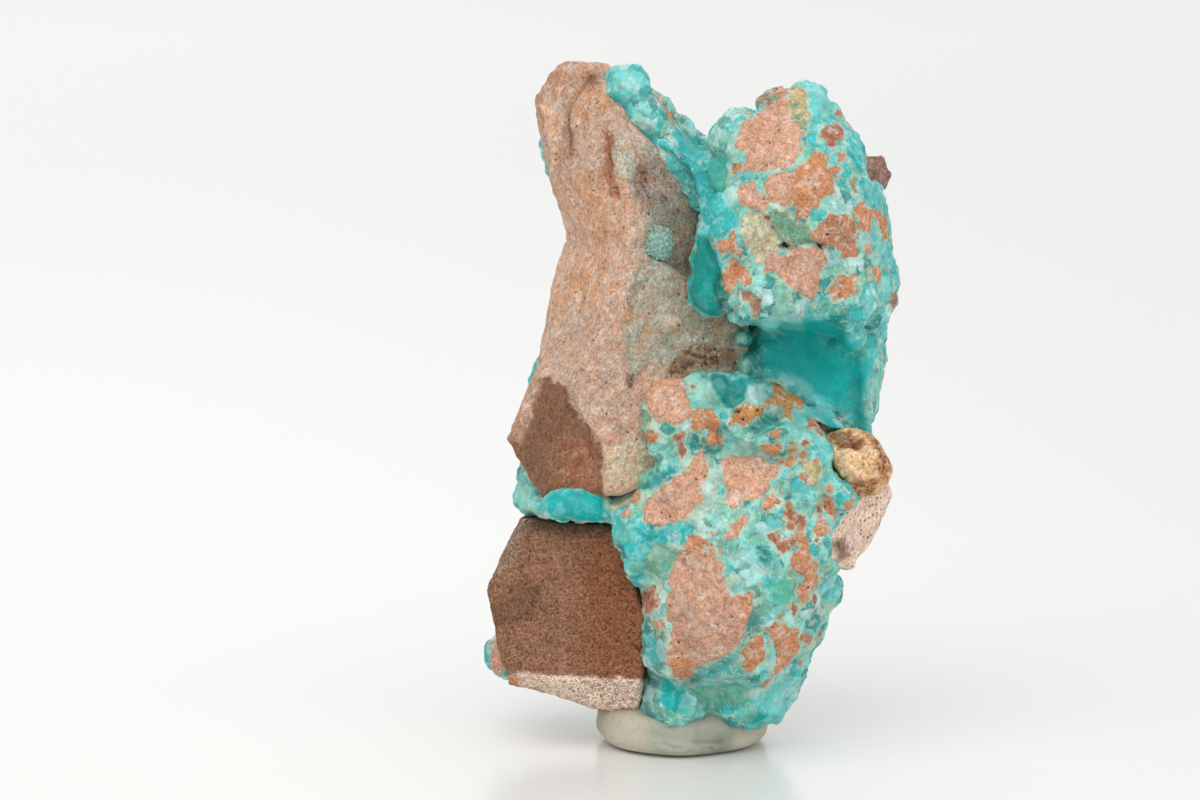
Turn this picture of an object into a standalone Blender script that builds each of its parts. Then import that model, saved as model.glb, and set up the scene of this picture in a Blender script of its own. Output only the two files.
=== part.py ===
"""A hemimorphite specimen on its host rock, stood upright on a pad of putty.

Blue-green hemimorphite cements angular pieces of brown rock: an upper blade, a lower block and a
piece in the right flank. Metres, +Z up. The face that shows in the picture looks towards -Y, and the
origin is on the surface that the pad rests on, below the middle of the specimen.
"""

import bmesh
import bpy
import numpy as np
from mathutils import Euler, Matrix, Vector

# Every table below is in millimetres.
MM = 0.001

# Pieces that touch keep a gap of about 0.3, so the shape that cuts a piece's room is larger by this.
SWELL = 0.45

# The width of the small cubes that a remesh rebuilds a shape from.
ROCK_VOXEL = 0.6
CRUST_VOXEL = 0.75

# Each piece of rock is one or more chunks, and a chunk is the convex hull of its corners.
BLADE = [
    (-14.7, 3.5, 82.2), (-17.1, 4.5, 80.6), (-18.8, 5.5, 77.0), (-18.0, 6.5, 72.3),
    (-12.1, -0.5, 81.5), (-10.2, 4.5, 81.7), (-9.5, -5.5, 75.6), (-7.8, -8.5, 67.7),
    (-7.5, -9.5, 59.4), (-15.0, 4.5, 63.8), (-14.5, 3.5, 58.1), (-8.8, 1.5, 79.0),
    (-5.8, 0.5, 75.4), (-1.6, -0.1, 71.6), (1.2, -0.5, 68.6), (2.0, -1.5, 61.2),
    (1.2, -2.5, 54.2), (-14.3, 9.5, 81.0), (-17.6, 10.5, 75.6), (-13.6, 10.5, 63.1),
    (1.0, 10.5, 69.0), (1.2, 10.5, 52.6), (-9.4, 9.5, 80.6),
]
SLAB = [
    (-7.7, -9.5, 60.8), (-8.4, -11.0, 51.6), (-8.8, -11.5, 44.7), (-10.9, -11.0, 38.2),
    (-10.2, -10.5, 31.9), (-15.0, 4.5, 60.7), (-16.2, 3.5, 56.9), (-17.4, 2.5, 50.6),
    (-18.3, 2.5, 47.4), (-17.4, -2.5, 45.6), (-14.2, -8.5, 45.2), (6.3, -2.5, 54.2),
    (6.9, -2.5, 44.7), (-0.3, -7.5, 33.5), (-15.1, 10.0, 60.0), (-17.3, 10.0, 49.6),
    (-17.8, 10.0, 44.0), (-15.8, 9.5, 29.5), (6.9, 10.0, 52.7), (7.0, 10.0, 31.0),
]
FACET = [
    (-17.4, -3.5, 45.7), (-14.3, -7.5, 45.0), (-10.8, -9.7, 37.7), (-10.3, -9.5, 31.8),
    (-13.8, -8.5, 31.2), (-17.3, -6.5, 30.5), (-20.3, -3.0, 34.2), (-21.8, -0.5, 37.5),
    (-20.1, 0.0, 41.7), (-18.5, 9.0, 45.5), (-21.4, 8.0, 36.5), (-20.0, 9.0, 32.3),
    (-17.4, 9.5, 29.5), (-10.2, 9.5, 29.5), (-10.9, 9.5, 40.4),
]
LOWER_BLOCK = [
    (-20.5, -4.0, 28.4), (-15.6, -5.5, 28.3), (-9.4, -7.0, 28.2), (-5.5, -8.5, 16.9),
    (-5.8, -8.5, 9.2), (-21.9, -4.5, 9.9), (-23.8, -3.0, 16.9), (-24.4, -2.0, 19.2),
    (-22.2, -3.0, 24.9), (-22.0, -0.5, 7.1), (-15.7, 0.5, 5.4), (-10.3, -1.5, 4.2),
    (-6.1, -4.5, 4.0), (-23.0, 7.5, 15.8), (-20.2, 8.5, 26.4), (-4.7, 9.0, 26.4),
    (-2.2, 8.5, 5.0), (-20.4, 7.5, 5.8),
]
SIDE_CHUNK = [
    (16.6, -9.0, 32.0), (23.7, -0.5, 32.4), (24.2, 1.5, 30.0), (21.3, 0.5, 24.0),
    (19.0, -2.5, 21.8), (16.2, -7.5, 23.6), (15.6, -10.5, 28.0), (23.6, 9.5, 30.5),
    (20.9, 8.0, 22.0), (14.6, 5.5, 29.0), (14.6, 5.5, 22.0),
]
CHIP_CHUNK = [
    (20.3, -0.5, 71.2), (22.3, 0.0, 71.0), (23.5, 1.5, 68.9), (23.3, 2.5, 66.8),
    (20.3, -1.5, 68.3), (19.5, 5.5, 69.6), (22.9, 6.5, 70.1), (23.1, 6.5, 66.9),
    (19.5, 2.5, 66.5),
]

# name: chunks, roughness, triangles
ROCKS = {
    "upper_rock": ([BLADE, SLAB, FACET], 0.28, 1050),
    "lower_rock": ([LOWER_BLOCK], 0.22, 560),
    "side_rock": ([SIDE_CHUNK], 0.25, 300),
    "brown_chip": ([CHIP_CHUNK], 0.10, 110),
}

# The hemimorphite is grown from lumps: centre, half sizes, and the turn about Y in degrees.
UPPER_LOBE = [
    ((12.2, -1.5, 63.4), (10.0, 12.6, 13.4), 0),
    ((14.3, 0.5, 76.0), (2.3, 5.0, 4.2), 6),
    ((10.9, -0.5, 75.4), (3.4, 6.0, 3.1), 0),
    ((5.4, -2.5, 72.0), (3.6, 6.3, 4.5), 15),
    ((17.0, -0.5, 70.4), (3.4, 7.0, 4.6), -20),
    ((20.6, 0.5, 62.0), (3.2, 8.0, 7.2), 0),
    ((21.6, 1.5, 54.8), (2.7, 8.0, 6.0), 5),
    ((3.7, -7.0, 62.6), (3.5, 5.8, 7.2), 0),
    ((9.8, -8.7, 56.2), (6.4, 6.4, 5.0), 0),
    ((16.8, -5.3, 55.6), (5.2, 7.3, 5.4), 28),
]
HANGING_BULB = [((2.9, -6.1, 56.0), (3.7, 4.8, 4.2), 0)]
CAVITY_WALL = [
    ((14.8, 4.5, 46.5), (8.2, 8.0, 12.0), 0),
    ((20.2, 3.5, 44.5), (2.5, 7.5, 7.6), 0),
    ((16.4, 5.5, 34.0), (6.0, 7.0, 8.0), 0),
]
LOWER_LOBE = [
    ((5.0, -3.5, 23.5), (11.6, 13.3, 16.2), 0),
    ((-1.6, -6.7, 40.2), (6.4, 6.0, 6.2), -20),
    ((8.0, -7.1, 40.6), (6.8, 7.0, 4.6), 8),
    ((-0.5, -7.6, 33.5), (6.5, 5.6, 6.0), 0),
    ((10.5, -6.5, 33.0), (6.0, 7.0, 6.0), 0),
    ((13.4, -4.5, 37.4), (4.6, 7.6, 4.4), 28),
    ((-5.6, -7.9, 27.2), (3.6, 5.0, 6.2), 20),
    ((-2.0, -7.0, 16.8), (3.9, 6.2, 7.4), 8),
    ((-2.0, -3.0, 6.4), (5.2, 6.8, 4.2), 0),
    ((7.0, -2.0, 6.6), (5.8, 7.2, 4.2), 0),
    ((12.4, -3.5, 26.0), (4.4, 9.5, 7.0), 0),
    ((14.5, -4.5, 26.5), (4.0, 8.0, 6.0), 0),
    ((12.5, -2.0, 16.5), (3.8, 6.5, 4.6), 0),
    ((17.2, -2.5, 19.4), (2.2, 4.0, 2.2), 0),
    ((10.6, -2.0, 10.6), (3.2, 7.0, 4.9), 22),
]
TOP_BAND = [
    ((-7.4, 1.3, 78.7), (3.0, 3.9, 2.5), 25),
    ((-5.2, 0.7, 75.6), (2.9, 4.1, 2.8), 35),
    ((-2.6, 0.1, 73.1), (3.0, 4.1, 2.6), 40),
    ((0.2, -0.7, 70.5), (3.0, 4.4, 2.9), 35),
    ((2.2, -1.7, 67.4), (2.4, 4.6, 3.8), 10),
]
VEIN = [
    ((-14.0, -4.3, 29.9), (4.2, 5.6, 2.2), 3),
    ((-13.4, 2.5, 29.2), (7.6, 9.0, 1.5), 0),
    ((-8.4, -3.5, 29.8), (4.0, 5.2, 1.5), -4),
]
BACK_CRUST = [
    ((-14.4, 10.8, 73.2), (3.2, 3.2, 6.0), 5),
    ((-9.4, 11.1, 66.0), (5.2, 3.6, 8.4), 0),
    ((-3.0, 11.5, 68.0), (7.0, 3.8, 8.6), 0),
    ((-9.4, 11.7, 53.5), (6.6, 4.0, 9.6), 0),
    ((0.0, 11.9, 52.0), (9.0, 4.4, 10.5), 0),
    ((-12.4, 10.9, 42.0), (6.4, 4.0, 8.0), 0),
    ((0.0, 11.5, 38.0), (9.5, 4.6, 10.5), 0),
    ((-14.4, 10.1, 30.0), (6.2, 4.0, 7.0), 0),
    ((-2.0, 11.1, 23.0), (9.0, 4.6, 11.0), 0),
    ((-14.6, 9.1, 17.0), (8.4, 4.2, 7.4), 0),
    ((9.0, 9.5, 60.0), (8.6, 5.5, 12.0), 0),
    ((9.6, 9.0, 28.0), (8.0, 6.0, 11.4), 0),
    ((-22.6, 6.5, 10.6), (2.5, 3.4, 2.9), 0),
]
LUMPS = UPPER_LOBE + HANGING_BULB + CAVITY_WALL + LOWER_LOBE + TOP_BAND + VEIN + BACK_CRUST
# The vug between the lobes, its axis slanting down to the right.
VUG = [((14.6, -13.0, 45.6), (10.6, 10.6, 5.9), 27)]
CRUST_ROUGHNESS = 0.40
CRUST_TRIANGLES = 3600

NODULE_CENTRE, NODULE_RADII, NODULE_TURN = (19.6, -7.2, 35.9), (3.8, 4.8, 4.2), 25
ROSETTE_CENTRE, ROSETTE_RADIUS, ROSETTE_FLATNESS = (-4.0, -6.9, 61.4), 2.05, 0.8
ROSETTE_SPIKES = 14

PAD_CENTRE, PAD_RADII, PAD_HEIGHT, PAD_BEVEL = (-1.1, 0.5), (10.6, 9.6), 5.4, 1.4


def clear_scene():
    """Removes the objects that Blender starts with."""
    for obj in list(bpy.data.objects):
        bpy.data.objects.remove(obj)


def collection_named(name):
    made = bpy.data.collections.new(name)
    bpy.context.scene.collection.children.link(made)
    return made


def material(name, colour, roughness):
    made = bpy.data.materials.new(name)
    made.use_nodes = True
    made.diffuse_color = (*colour, 1.0)
    shader = made.node_tree.nodes["Principled BSDF"]
    shader.inputs["Base Color"].default_value = (*colour, 1.0)
    shader.inputs["Roughness"].default_value = roughness
    shader.inputs["Metallic"].default_value = 0.0
    return made


def object_from(name, bm, collection):
    """The bmesh, whose places are in millimetres, as a named object in metres."""
    bmesh.ops.scale(bm, vec=(MM, MM, MM), verts=bm.verts)
    mesh = bpy.data.meshes.new(name)
    bm.to_mesh(mesh)
    bm.free()
    obj = bpy.data.objects.new(name, mesh)
    collection.objects.link(obj)
    return obj


def settle(obj):
    """Makes the object's modifiers a lasting part of its mesh."""
    bpy.context.view_layer.update()
    graph = bpy.context.evaluated_depsgraph_get()
    mesh = bpy.data.meshes.new_from_object(obj.evaluated_get(graph))
    obj.modifiers.clear()
    old, obj.data = obj.data, mesh
    mesh.name = obj.name
    bpy.data.meshes.remove(old)
    return obj


def remesh(obj, voxel):
    """One closed skin round everything that the mesh holds, from cubes of that width."""
    step = obj.modifiers.new("one skin", "REMESH")
    step.mode = "VOXEL"
    step.voxel_size = voxel * MM
    return settle(obj)


def smooth(obj, factor, times):
    step = obj.modifiers.new("smooth", "SMOOTH")
    step.factor = factor
    step.iterations = times
    return settle(obj)


def decimate(obj, triangles):
    """Merges edges until about that many triangles are left."""
    obj.data.calc_loop_triangles()
    step = obj.modifiers.new("fewer faces", "DECIMATE")
    step.ratio = min(1.0, triangles / len(obj.data.loop_triangles))
    step.use_collapse_triangulate = True
    return settle(obj)


def swell(obj, distance):
    """Moves every face outwards by about that distance."""
    step = obj.modifiers.new("swell", "DISPLACE")
    step.strength = distance * MM
    step.mid_level = 0.0
    return settle(obj)


def boolean(obj, other, operation):
    step = obj.modifiers.new(operation.lower(), "BOOLEAN")
    step.operation = operation
    step.solver = "EXACT"
    step.object = other
    return settle(obj)


def discard(obj):
    mesh = obj.data
    bpy.data.objects.remove(obj)
    bpy.data.meshes.remove(mesh)


def copy_of(obj, name, collection):
    made = bpy.data.objects.new(name, obj.data.copy())
    collection.objects.link(made)
    return made


def keep_largest(obj):
    """Leaves only the body with the most vertices, where a cut left crumbs."""
    bm = bmesh.new()
    bm.from_mesh(obj.data)
    unseen = set(bm.verts)
    bodies = []
    while unseen:
        body, edge_of_body = set(), [unseen.pop()]
        while edge_of_body:
            vert = edge_of_body.pop()
            body.add(vert)
            near = {edge.other_vert(vert) for edge in vert.link_edges} & unseen
            unseen -= near
            edge_of_body.extend(near)
        bodies.append(body)
    largest = max(bodies, key=len)
    crumbs = [vert for body in bodies if body is not largest for vert in body]
    bmesh.ops.delete(bm, geom=crumbs, context="VERTS")
    bm.to_mesh(obj.data)
    bm.free()
    return obj


def waves(points, length, seed, count=24):
    """A smooth random field of about -1 to 1: a sum of plane waves of about that length."""
    random = np.random.default_rng(seed)
    ways = random.normal(size=(count, 3))
    ways /= np.linalg.norm(ways, axis=1, keepdims=True)
    ways *= 2 * np.pi / (length * random.uniform(0.7, 1.4, size=(count, 1)))
    starts = random.uniform(0, 2 * np.pi, size=count)
    return np.sin(points @ ways.T + starts).sum(axis=1) / np.sqrt(count)


def roughen(obj, amount, lengths, seed):
    """Moves each vertex along its normal by a sum of waves, each half as high as the last."""
    mesh = obj.data
    places = np.empty(len(mesh.vertices) * 3)
    mesh.vertices.foreach_get("co", places)
    places = places.reshape(-1, 3) / MM
    normals = np.empty(len(mesh.vertices) * 3, np.float32)
    mesh.vertex_normals.foreach_get("vector", normals)
    heights = sum(waves(places, length, seed + i) / 2**i for i, length in enumerate(lengths))
    places += amount * heights[:, None] * normals.reshape(-1, 3)
    mesh.vertices.foreach_set("co", (places * MM).ravel())
    mesh.update()
    return obj


def hull(name, corners, collection):
    """A chunk of rock: the convex hull of its corners."""
    bm = bmesh.new()
    for corner in corners:
        bm.verts.new(corner)
    made = bmesh.ops.convex_hull(bm, input=bm.verts)
    spare = {item for item in made["geom_interior"] + made["geom_unused"]}
    bmesh.ops.delete(bm, geom=[v for v in spare if isinstance(v, bmesh.types.BMVert)], context="VERTS")
    bmesh.ops.recalc_face_normals(bm, faces=bm.faces)
    return object_from(name, bm, collection)


def ellipsoids(name, lumps, collection, rounds=3):
    """Lumps as stretched spheres in one mesh. They may cross, and a remesh then joins them."""
    bm = bmesh.new()
    for centre, radii, turn in lumps:
        place = Matrix.Translation(centre) @ Euler((0, np.radians(turn), 0)).to_matrix().to_4x4()
        place = place @ Matrix.Diagonal((*radii, 1))
        bmesh.ops.create_icosphere(bm, subdivisions=rounds, radius=1.0, matrix=place)
    return object_from(name, bm, collection)


def rock(name, chunks, roughness, triangles, collection, seed):
    """Chunks joined, made rough, and thinned so that flat faces keep few triangles."""
    made = hull(name, chunks[0], collection)
    for corners in chunks[1:]:
        other = hull("chunk", corners, collection)
        boolean(made, other, "UNION")
        discard(other)
    remesh(made, ROCK_VOXEL)
    roughen(made, roughness, (7.0, 3.2), seed)
    return decimate(made, triangles)


def crust(name, collection):
    """The hemimorphite before the rocks are taken out of it: lumps run together, with the vug cut out."""
    made = ellipsoids(name, LUMPS, collection)
    remesh(made, CRUST_VOXEL)
    vug = ellipsoids("vug", VUG, collection)
    boolean(made, vug, "DIFFERENCE")
    discard(vug)
    remesh(made, CRUST_VOXEL)
    smooth(made, 0.5, 3)
    roughen(made, CRUST_ROUGHNESS, (6.0, 3.2), seed=40)
    return decimate(made, CRUST_TRIANGLES)


def nodule(name, collection):
    """A rounded tan pebble in the right shoulder, with a flattened face."""
    made = ellipsoids(name, [(NODULE_CENTRE, NODULE_RADII, NODULE_TURN)], collection, rounds=4)
    roughen(made, 0.4, (4.0, 2.0), seed=60)
    return decimate(made, 240)


def rosette(name, collection):
    """A flattened ball of radiating crystals, its rim notched by their tips."""
    bm = bmesh.new()
    bmesh.ops.create_uvsphere(bm, u_segments=2 * ROSETTE_SPIKES, v_segments=6, radius=ROSETTE_RADIUS)
    for vert in bm.verts:
        angle = np.arctan2(vert.co.y, vert.co.x)
        notch = 0.04 * ROSETTE_RADIUS * np.cos(ROSETTE_SPIKES * angle)
        flat = Vector((vert.co.x, vert.co.y, 0))
        if flat.length > 0.1 * ROSETTE_RADIUS:
            vert.co += flat.normalized() * notch
        vert.co.z *= ROSETTE_FLATNESS
    # The ball's flat side leans on the rock's right-hand face, which looks forwards and right.
    lean = Euler((np.radians(90), 0, np.radians(18))).to_matrix()
    bmesh.ops.rotate(bm, cent=(0, 0, 0), matrix=lean, verts=bm.verts)
    bmesh.ops.translate(bm, vec=ROSETTE_CENTRE, verts=bm.verts)
    return object_from(name, bm, collection)


def putty_pad(name, collection):
    """A pressed disc of putty: an oval cylinder with a round rim and a slightly uneven side."""
    bm = bmesh.new()
    bmesh.ops.create_cone(
        bm, cap_ends=True, segments=32, radius1=1.0, radius2=0.94, depth=1.0,
        matrix=Matrix.Translation((*PAD_CENTRE, PAD_HEIGHT / 2)) @ Matrix.Diagonal((*PAD_RADII, PAD_HEIGHT, 1)),
    )
    rims = [edge for edge in bm.edges if abs(edge.verts[0].co.z - edge.verts[1].co.z) < 0.01]
    bmesh.ops.bevel(bm, geom=rims, offset=PAD_BEVEL, segments=3, profile=0.5, affect="EDGES")
    for vert in bm.verts:
        around = np.arctan2(vert.co.y - PAD_CENTRE[1], vert.co.x - PAD_CENTRE[0])
        swelling = 1 + 0.025 * np.sin(3 * around + 0.6) + 0.015 * np.sin(7 * around)
        vert.co.x = PAD_CENTRE[0] + (vert.co.x - PAD_CENTRE[0]) * swelling
        vert.co.y = PAD_CENTRE[1] + (vert.co.y - PAD_CENTRE[1]) * swelling
    bmesh.ops.triangulate(bm, faces=[face for face in bm.faces if len(face.verts) > 4])
    return object_from(name, bm, collection)


def grown(obj, name, collection):
    """A copy of the object that reaches past it by the gap, as one clean skin."""
    made = copy_of(obj, name, collection)
    triangles = len(made.data.polygons)
    swell(made, SWELL)
    remesh(made, ROCK_VOXEL)
    return decimate(made, triangles)


def take_out(obj, others, collection):
    """Cuts from obj the room that each of the others fills, with a gap all round it."""
    for other in others:
        cutter = grown(other, "cutter", collection)
        boolean(obj, cutter, "DIFFERENCE")
        discard(cutter)
    return keep_largest(obj)


def main():
    clear_scene()
    specimen = collection_named("hemimorphite specimen")
    bench = collection_named("bench")

    finishes = {
        "brown rock": material("brown rock", (0.33, 0.17, 0.10), 0.85),
        "tan rock": material("tan rock", (0.52, 0.30, 0.17), 0.85),
        "hemimorphite": material("hemimorphite", (0.10, 0.52, 0.50), 0.40),
        "putty": material("putty", (0.62, 0.57, 0.47), 0.70),
    }

    rocks = []
    for seed, (name, (chunks, roughness, triangles)) in enumerate(ROCKS.items(), start=1):
        rocks.append(rock(name, chunks, roughness, triangles, specimen, 10 * seed))
    pebble = nodule("tan_nodule", specimen)
    take_out(rocks[2], [pebble], bench)
    growth = crust("hemimorphite_crust", specimen)
    take_out(growth, [*rocks, pebble], bench)
    ball = rosette("crystal_rosette", specimen)
    take_out(ball, [rocks[0]], bench)
    pad = putty_pad("putty_pad", specimen)
    take_out(pad, [rocks[1], growth], bench)

    for obj in (growth, pebble, ball, pad):
        obj.data.shade_smooth()
    for obj in rocks:
        obj.data.materials.append(finishes["brown rock"])
    pebble.data.materials.append(finishes["tan rock"])
    growth.data.materials.append(finishes["hemimorphite"])
    ball.data.materials.append(finishes["hemimorphite"])
    pad.data.materials.append(finishes["putty"])


if __name__ == "__main__":
    main()
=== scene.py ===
"""The fine shapes and finishes of a hemimorphite specimen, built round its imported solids.

Shapes are worked out in millimetres and put into the meshes in metres. The specimen's broad face
looks towards -Y. An outline's corners are (right, up) in millimetres, on the plane through the
viewer's target that faces the viewer, and it marks the surface that the viewer sees behind it.
"""

import itertools
import logging
from collections.abc import Sequence
from dataclasses import dataclass, field
from enum import Enum, IntEnum

import bpy
import numpy as np
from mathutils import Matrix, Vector


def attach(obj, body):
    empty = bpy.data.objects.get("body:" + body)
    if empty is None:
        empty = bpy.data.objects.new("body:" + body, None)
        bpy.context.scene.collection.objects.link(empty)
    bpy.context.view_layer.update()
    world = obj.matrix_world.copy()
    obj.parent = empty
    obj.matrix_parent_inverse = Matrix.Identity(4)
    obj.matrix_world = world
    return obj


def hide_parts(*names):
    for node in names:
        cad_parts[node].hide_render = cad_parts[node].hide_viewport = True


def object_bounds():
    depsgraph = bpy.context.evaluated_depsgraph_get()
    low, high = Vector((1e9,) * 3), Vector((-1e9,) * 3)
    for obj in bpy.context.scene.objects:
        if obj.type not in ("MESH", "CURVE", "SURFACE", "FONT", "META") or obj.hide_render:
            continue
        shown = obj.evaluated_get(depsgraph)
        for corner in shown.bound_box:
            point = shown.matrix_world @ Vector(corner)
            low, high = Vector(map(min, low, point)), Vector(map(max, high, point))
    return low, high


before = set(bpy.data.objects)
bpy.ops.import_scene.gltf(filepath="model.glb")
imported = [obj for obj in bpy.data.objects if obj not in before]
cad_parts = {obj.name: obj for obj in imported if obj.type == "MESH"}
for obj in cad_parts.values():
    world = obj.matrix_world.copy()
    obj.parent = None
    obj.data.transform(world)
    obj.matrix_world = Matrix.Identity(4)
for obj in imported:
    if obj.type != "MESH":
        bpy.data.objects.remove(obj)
SOLIDS_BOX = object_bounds()

log = logging.getLogger("specimen")

MM = 0.001
# Depths in mm for what is well outside every shape, and for what is deeper than any middle.
FAR_OUTSIDE = 4.0
DEEPEST = -36.0
# How far a grid reaches past its shape, in mm.
MARGIN = 2.0

Array = np.ndarray
Point = tuple[float, float, float]
Corner = tuple[float, float]
# A stretched ball: its middle, its half sizes, and its turn about the Y axis in degrees.
Lump = tuple[Point, Point, float]


class Seed(IntEnum):
    """Which random numbers each use takes; where it needs more sets, it takes later ones too."""

    SPIKES = 7
    ROCK_WAVES = 20
    ROCK_FACETS = 25
    CRUST_WAVES = 40
    BARE_EDGES = 45
    STONE_EDGES = 60
    CRUST_CLOUDS = 71
    GROWTH_EDGES = 80
    KNOBS = 90
    BEADS = 95
    CRUST_GRAIN = 97
    GRAVEL = 98
    FINE_GRAVEL = 99
    HIDDEN_STONES = 110
    ROCK_EDGES = 120
    ROCK_GRAIN = 130
    NODULE_WAVES = 140
    CRYSTAL_FACETS = 160
    PUTTY_EDGES = 165
    PUTTY_WAVES = 170


class Tint(Enum):
    """The colours of the specimen, its pad and the floor, as screen red, green and blue out of 255."""

    SALMON = (217, 168, 141)
    PINK = (208, 162, 138)
    ORANGE = (205, 143, 102)
    BROWN_ORANGE = (190, 134, 102)
    RED_BROWN = (166, 110, 84)
    OCHRE = (198, 142, 82)
    UMBER = (166, 146, 118)
    # Dark brown: painted shadow in sunk pits and hollows, and the rock's own dark stains.
    DARK = (84, 62, 46)
    OLIVE = (198, 184, 130)
    CREAM = (208, 208, 174)
    SAGE = (120, 168, 140)
    RUST = (170, 112, 84)

    BRIGHT = (56, 186, 186)
    MID = (84, 192, 190)
    LIGHT = (118, 208, 206)
    PALE = (150, 208, 192)
    WHITISH = (172, 218, 214)
    FROST = (190, 226, 224)
    # Deep teal. On the set-back bulb it also stands for painted shade.
    DEEP = (14, 152, 144)
    BALL = (62, 165, 150)
    VUG = (0, 180, 178)
    # Painted shadow: the vug's teal made darker under the overhang of the upper lobe.
    VUG_SHADOWED = (0, 166, 163)
    # Dark teal: random patches of the growth's own colour, and painted shade in its hollows and crevices.
    POOL_TEAL_AND_SHADE = (34, 140, 136)
    GREEN = (90, 192, 160)
    SEAGREEN = (122, 190, 166)
    TEAL_GREY = (90, 150, 142)
    VIVID = (0, 172, 170)
    CRUST = (94, 198, 193)
    BACK_CRUST = (76, 184, 180)
    MIXED = (132, 208, 196)
    HALO = (184, 208, 190)

    HAZE = (224, 210, 198)
    SAND = (206, 172, 149)
    BLADE = (190, 152, 128)
    # Painted shadow in the groove at the top of the blade.
    NOTCH_SHADOW = (136, 98, 76)
    WARM = (208, 160, 124)
    LOWSLAB = (198, 168, 148)
    GREY = (172, 169, 152)
    SPECKLED = (160, 150, 140)
    DARKGREEN = (158, 156, 140)
    SMOOTH = (188, 184, 166)
    PALEKNOB = (196, 186, 162)
    CREAMFOOT = (210, 190, 158)
    FACET = (136, 98, 74)
    FACETWARM = (152, 101, 73)
    # Painted light: the lit left face of the lower facet, lighter than the facet.
    STRIP = (184, 146, 122)
    REDGREY = (146, 120, 106)
    PEACH = (226, 186, 154)
    # Painted shade in the hollow under the nodule's upper rim.
    HOLLOW_SHADE = (150, 96, 58)
    BLOCK = (145, 103, 79)
    WARMBLOCK = (141, 91, 62)
    # Painted shadow cast by the vein's overhang on the top of the lower block.
    PAINTED_BAND_SHADOW = (92, 72, 54)
    # Painted shade on the chipped facet below the chip line on the lower block.
    CHIPPED_SHADE = (124, 91, 69)
    TOPLEFT = (150, 124, 102)
    PINKBAND = (242, 216, 196)
    SIDE = (246, 218, 198)
    NODULE = (250, 210, 160)
    NODULE_RIM = (216, 152, 98)
    CHIP = (160, 124, 112)
    ROSETTE = (128, 178, 168)
    PUTTY = (196, 188, 168)
    # Grey-green: painted shade on the pad's middle and right, and also the colour of its dirt smudges.
    PUTTY_SHADOW_AND_SMUDGE = (168, 168, 152)
    # Painted shade, deeper, right of the pad's middle.
    PUTTY_DEEP_SHADOW = (138, 142, 126)
    FLOOR = (234, 234, 232)

    @property
    def linear(self) -> Array:
        """The tint in linear light, from 0 to 1."""
        screen = np.array(self.value, np.float32) / 255
        return np.where(screen <= 0.04045, screen / 12.92, ((screen + 0.055) / 1.055) ** 2.4)


@dataclass(frozen=True)
class Patch:
    """A piece of rock that lies in the crust, or a dark sunk pit painted as shadow: its outline, and how
    far it stands proud or is sunk.
    """

    tint: Tint
    corners: tuple[Corner, ...]
    rise: float = 0.0


@dataclass(frozen=True)
class Zone:
    """A part of a surface with a colour of its own.

    The feather is the width over which it fades, the grit how knobbly the crust is there, or how
    many iron specks the rock has, and the rise how far it stands proud or is sunk.
    """

    tint: Tint
    corners: tuple[Corner, ...]
    feather: float = 0.5
    grit: float = 1.0
    rise: float = 0.0


@dataclass(frozen=True)
class Groove:
    """A crease or a ridge along a line: how wide it is, and how deep, with a minus for a ridge."""

    corners: tuple[Corner, ...]
    width: float
    depth: float


def path(*tenths: int) -> tuple[Corner, ...]:
    """Corners in mm, from the right and up of each in turn, in tenths of a millimetre."""
    return tuple((right / 10, up / 10) for right, up in zip(tenths[::2], tenths[1::2]))


def oval(right: float, up: float, wide: float, high: float) -> tuple[Corner, ...]:
    """Six corners round a small oval, from its middle and its half sizes in mm."""
    turns = np.arange(6) * np.pi / 3
    return tuple(zip(right + wide * np.cos(turns), up + high * np.sin(turns)))


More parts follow.
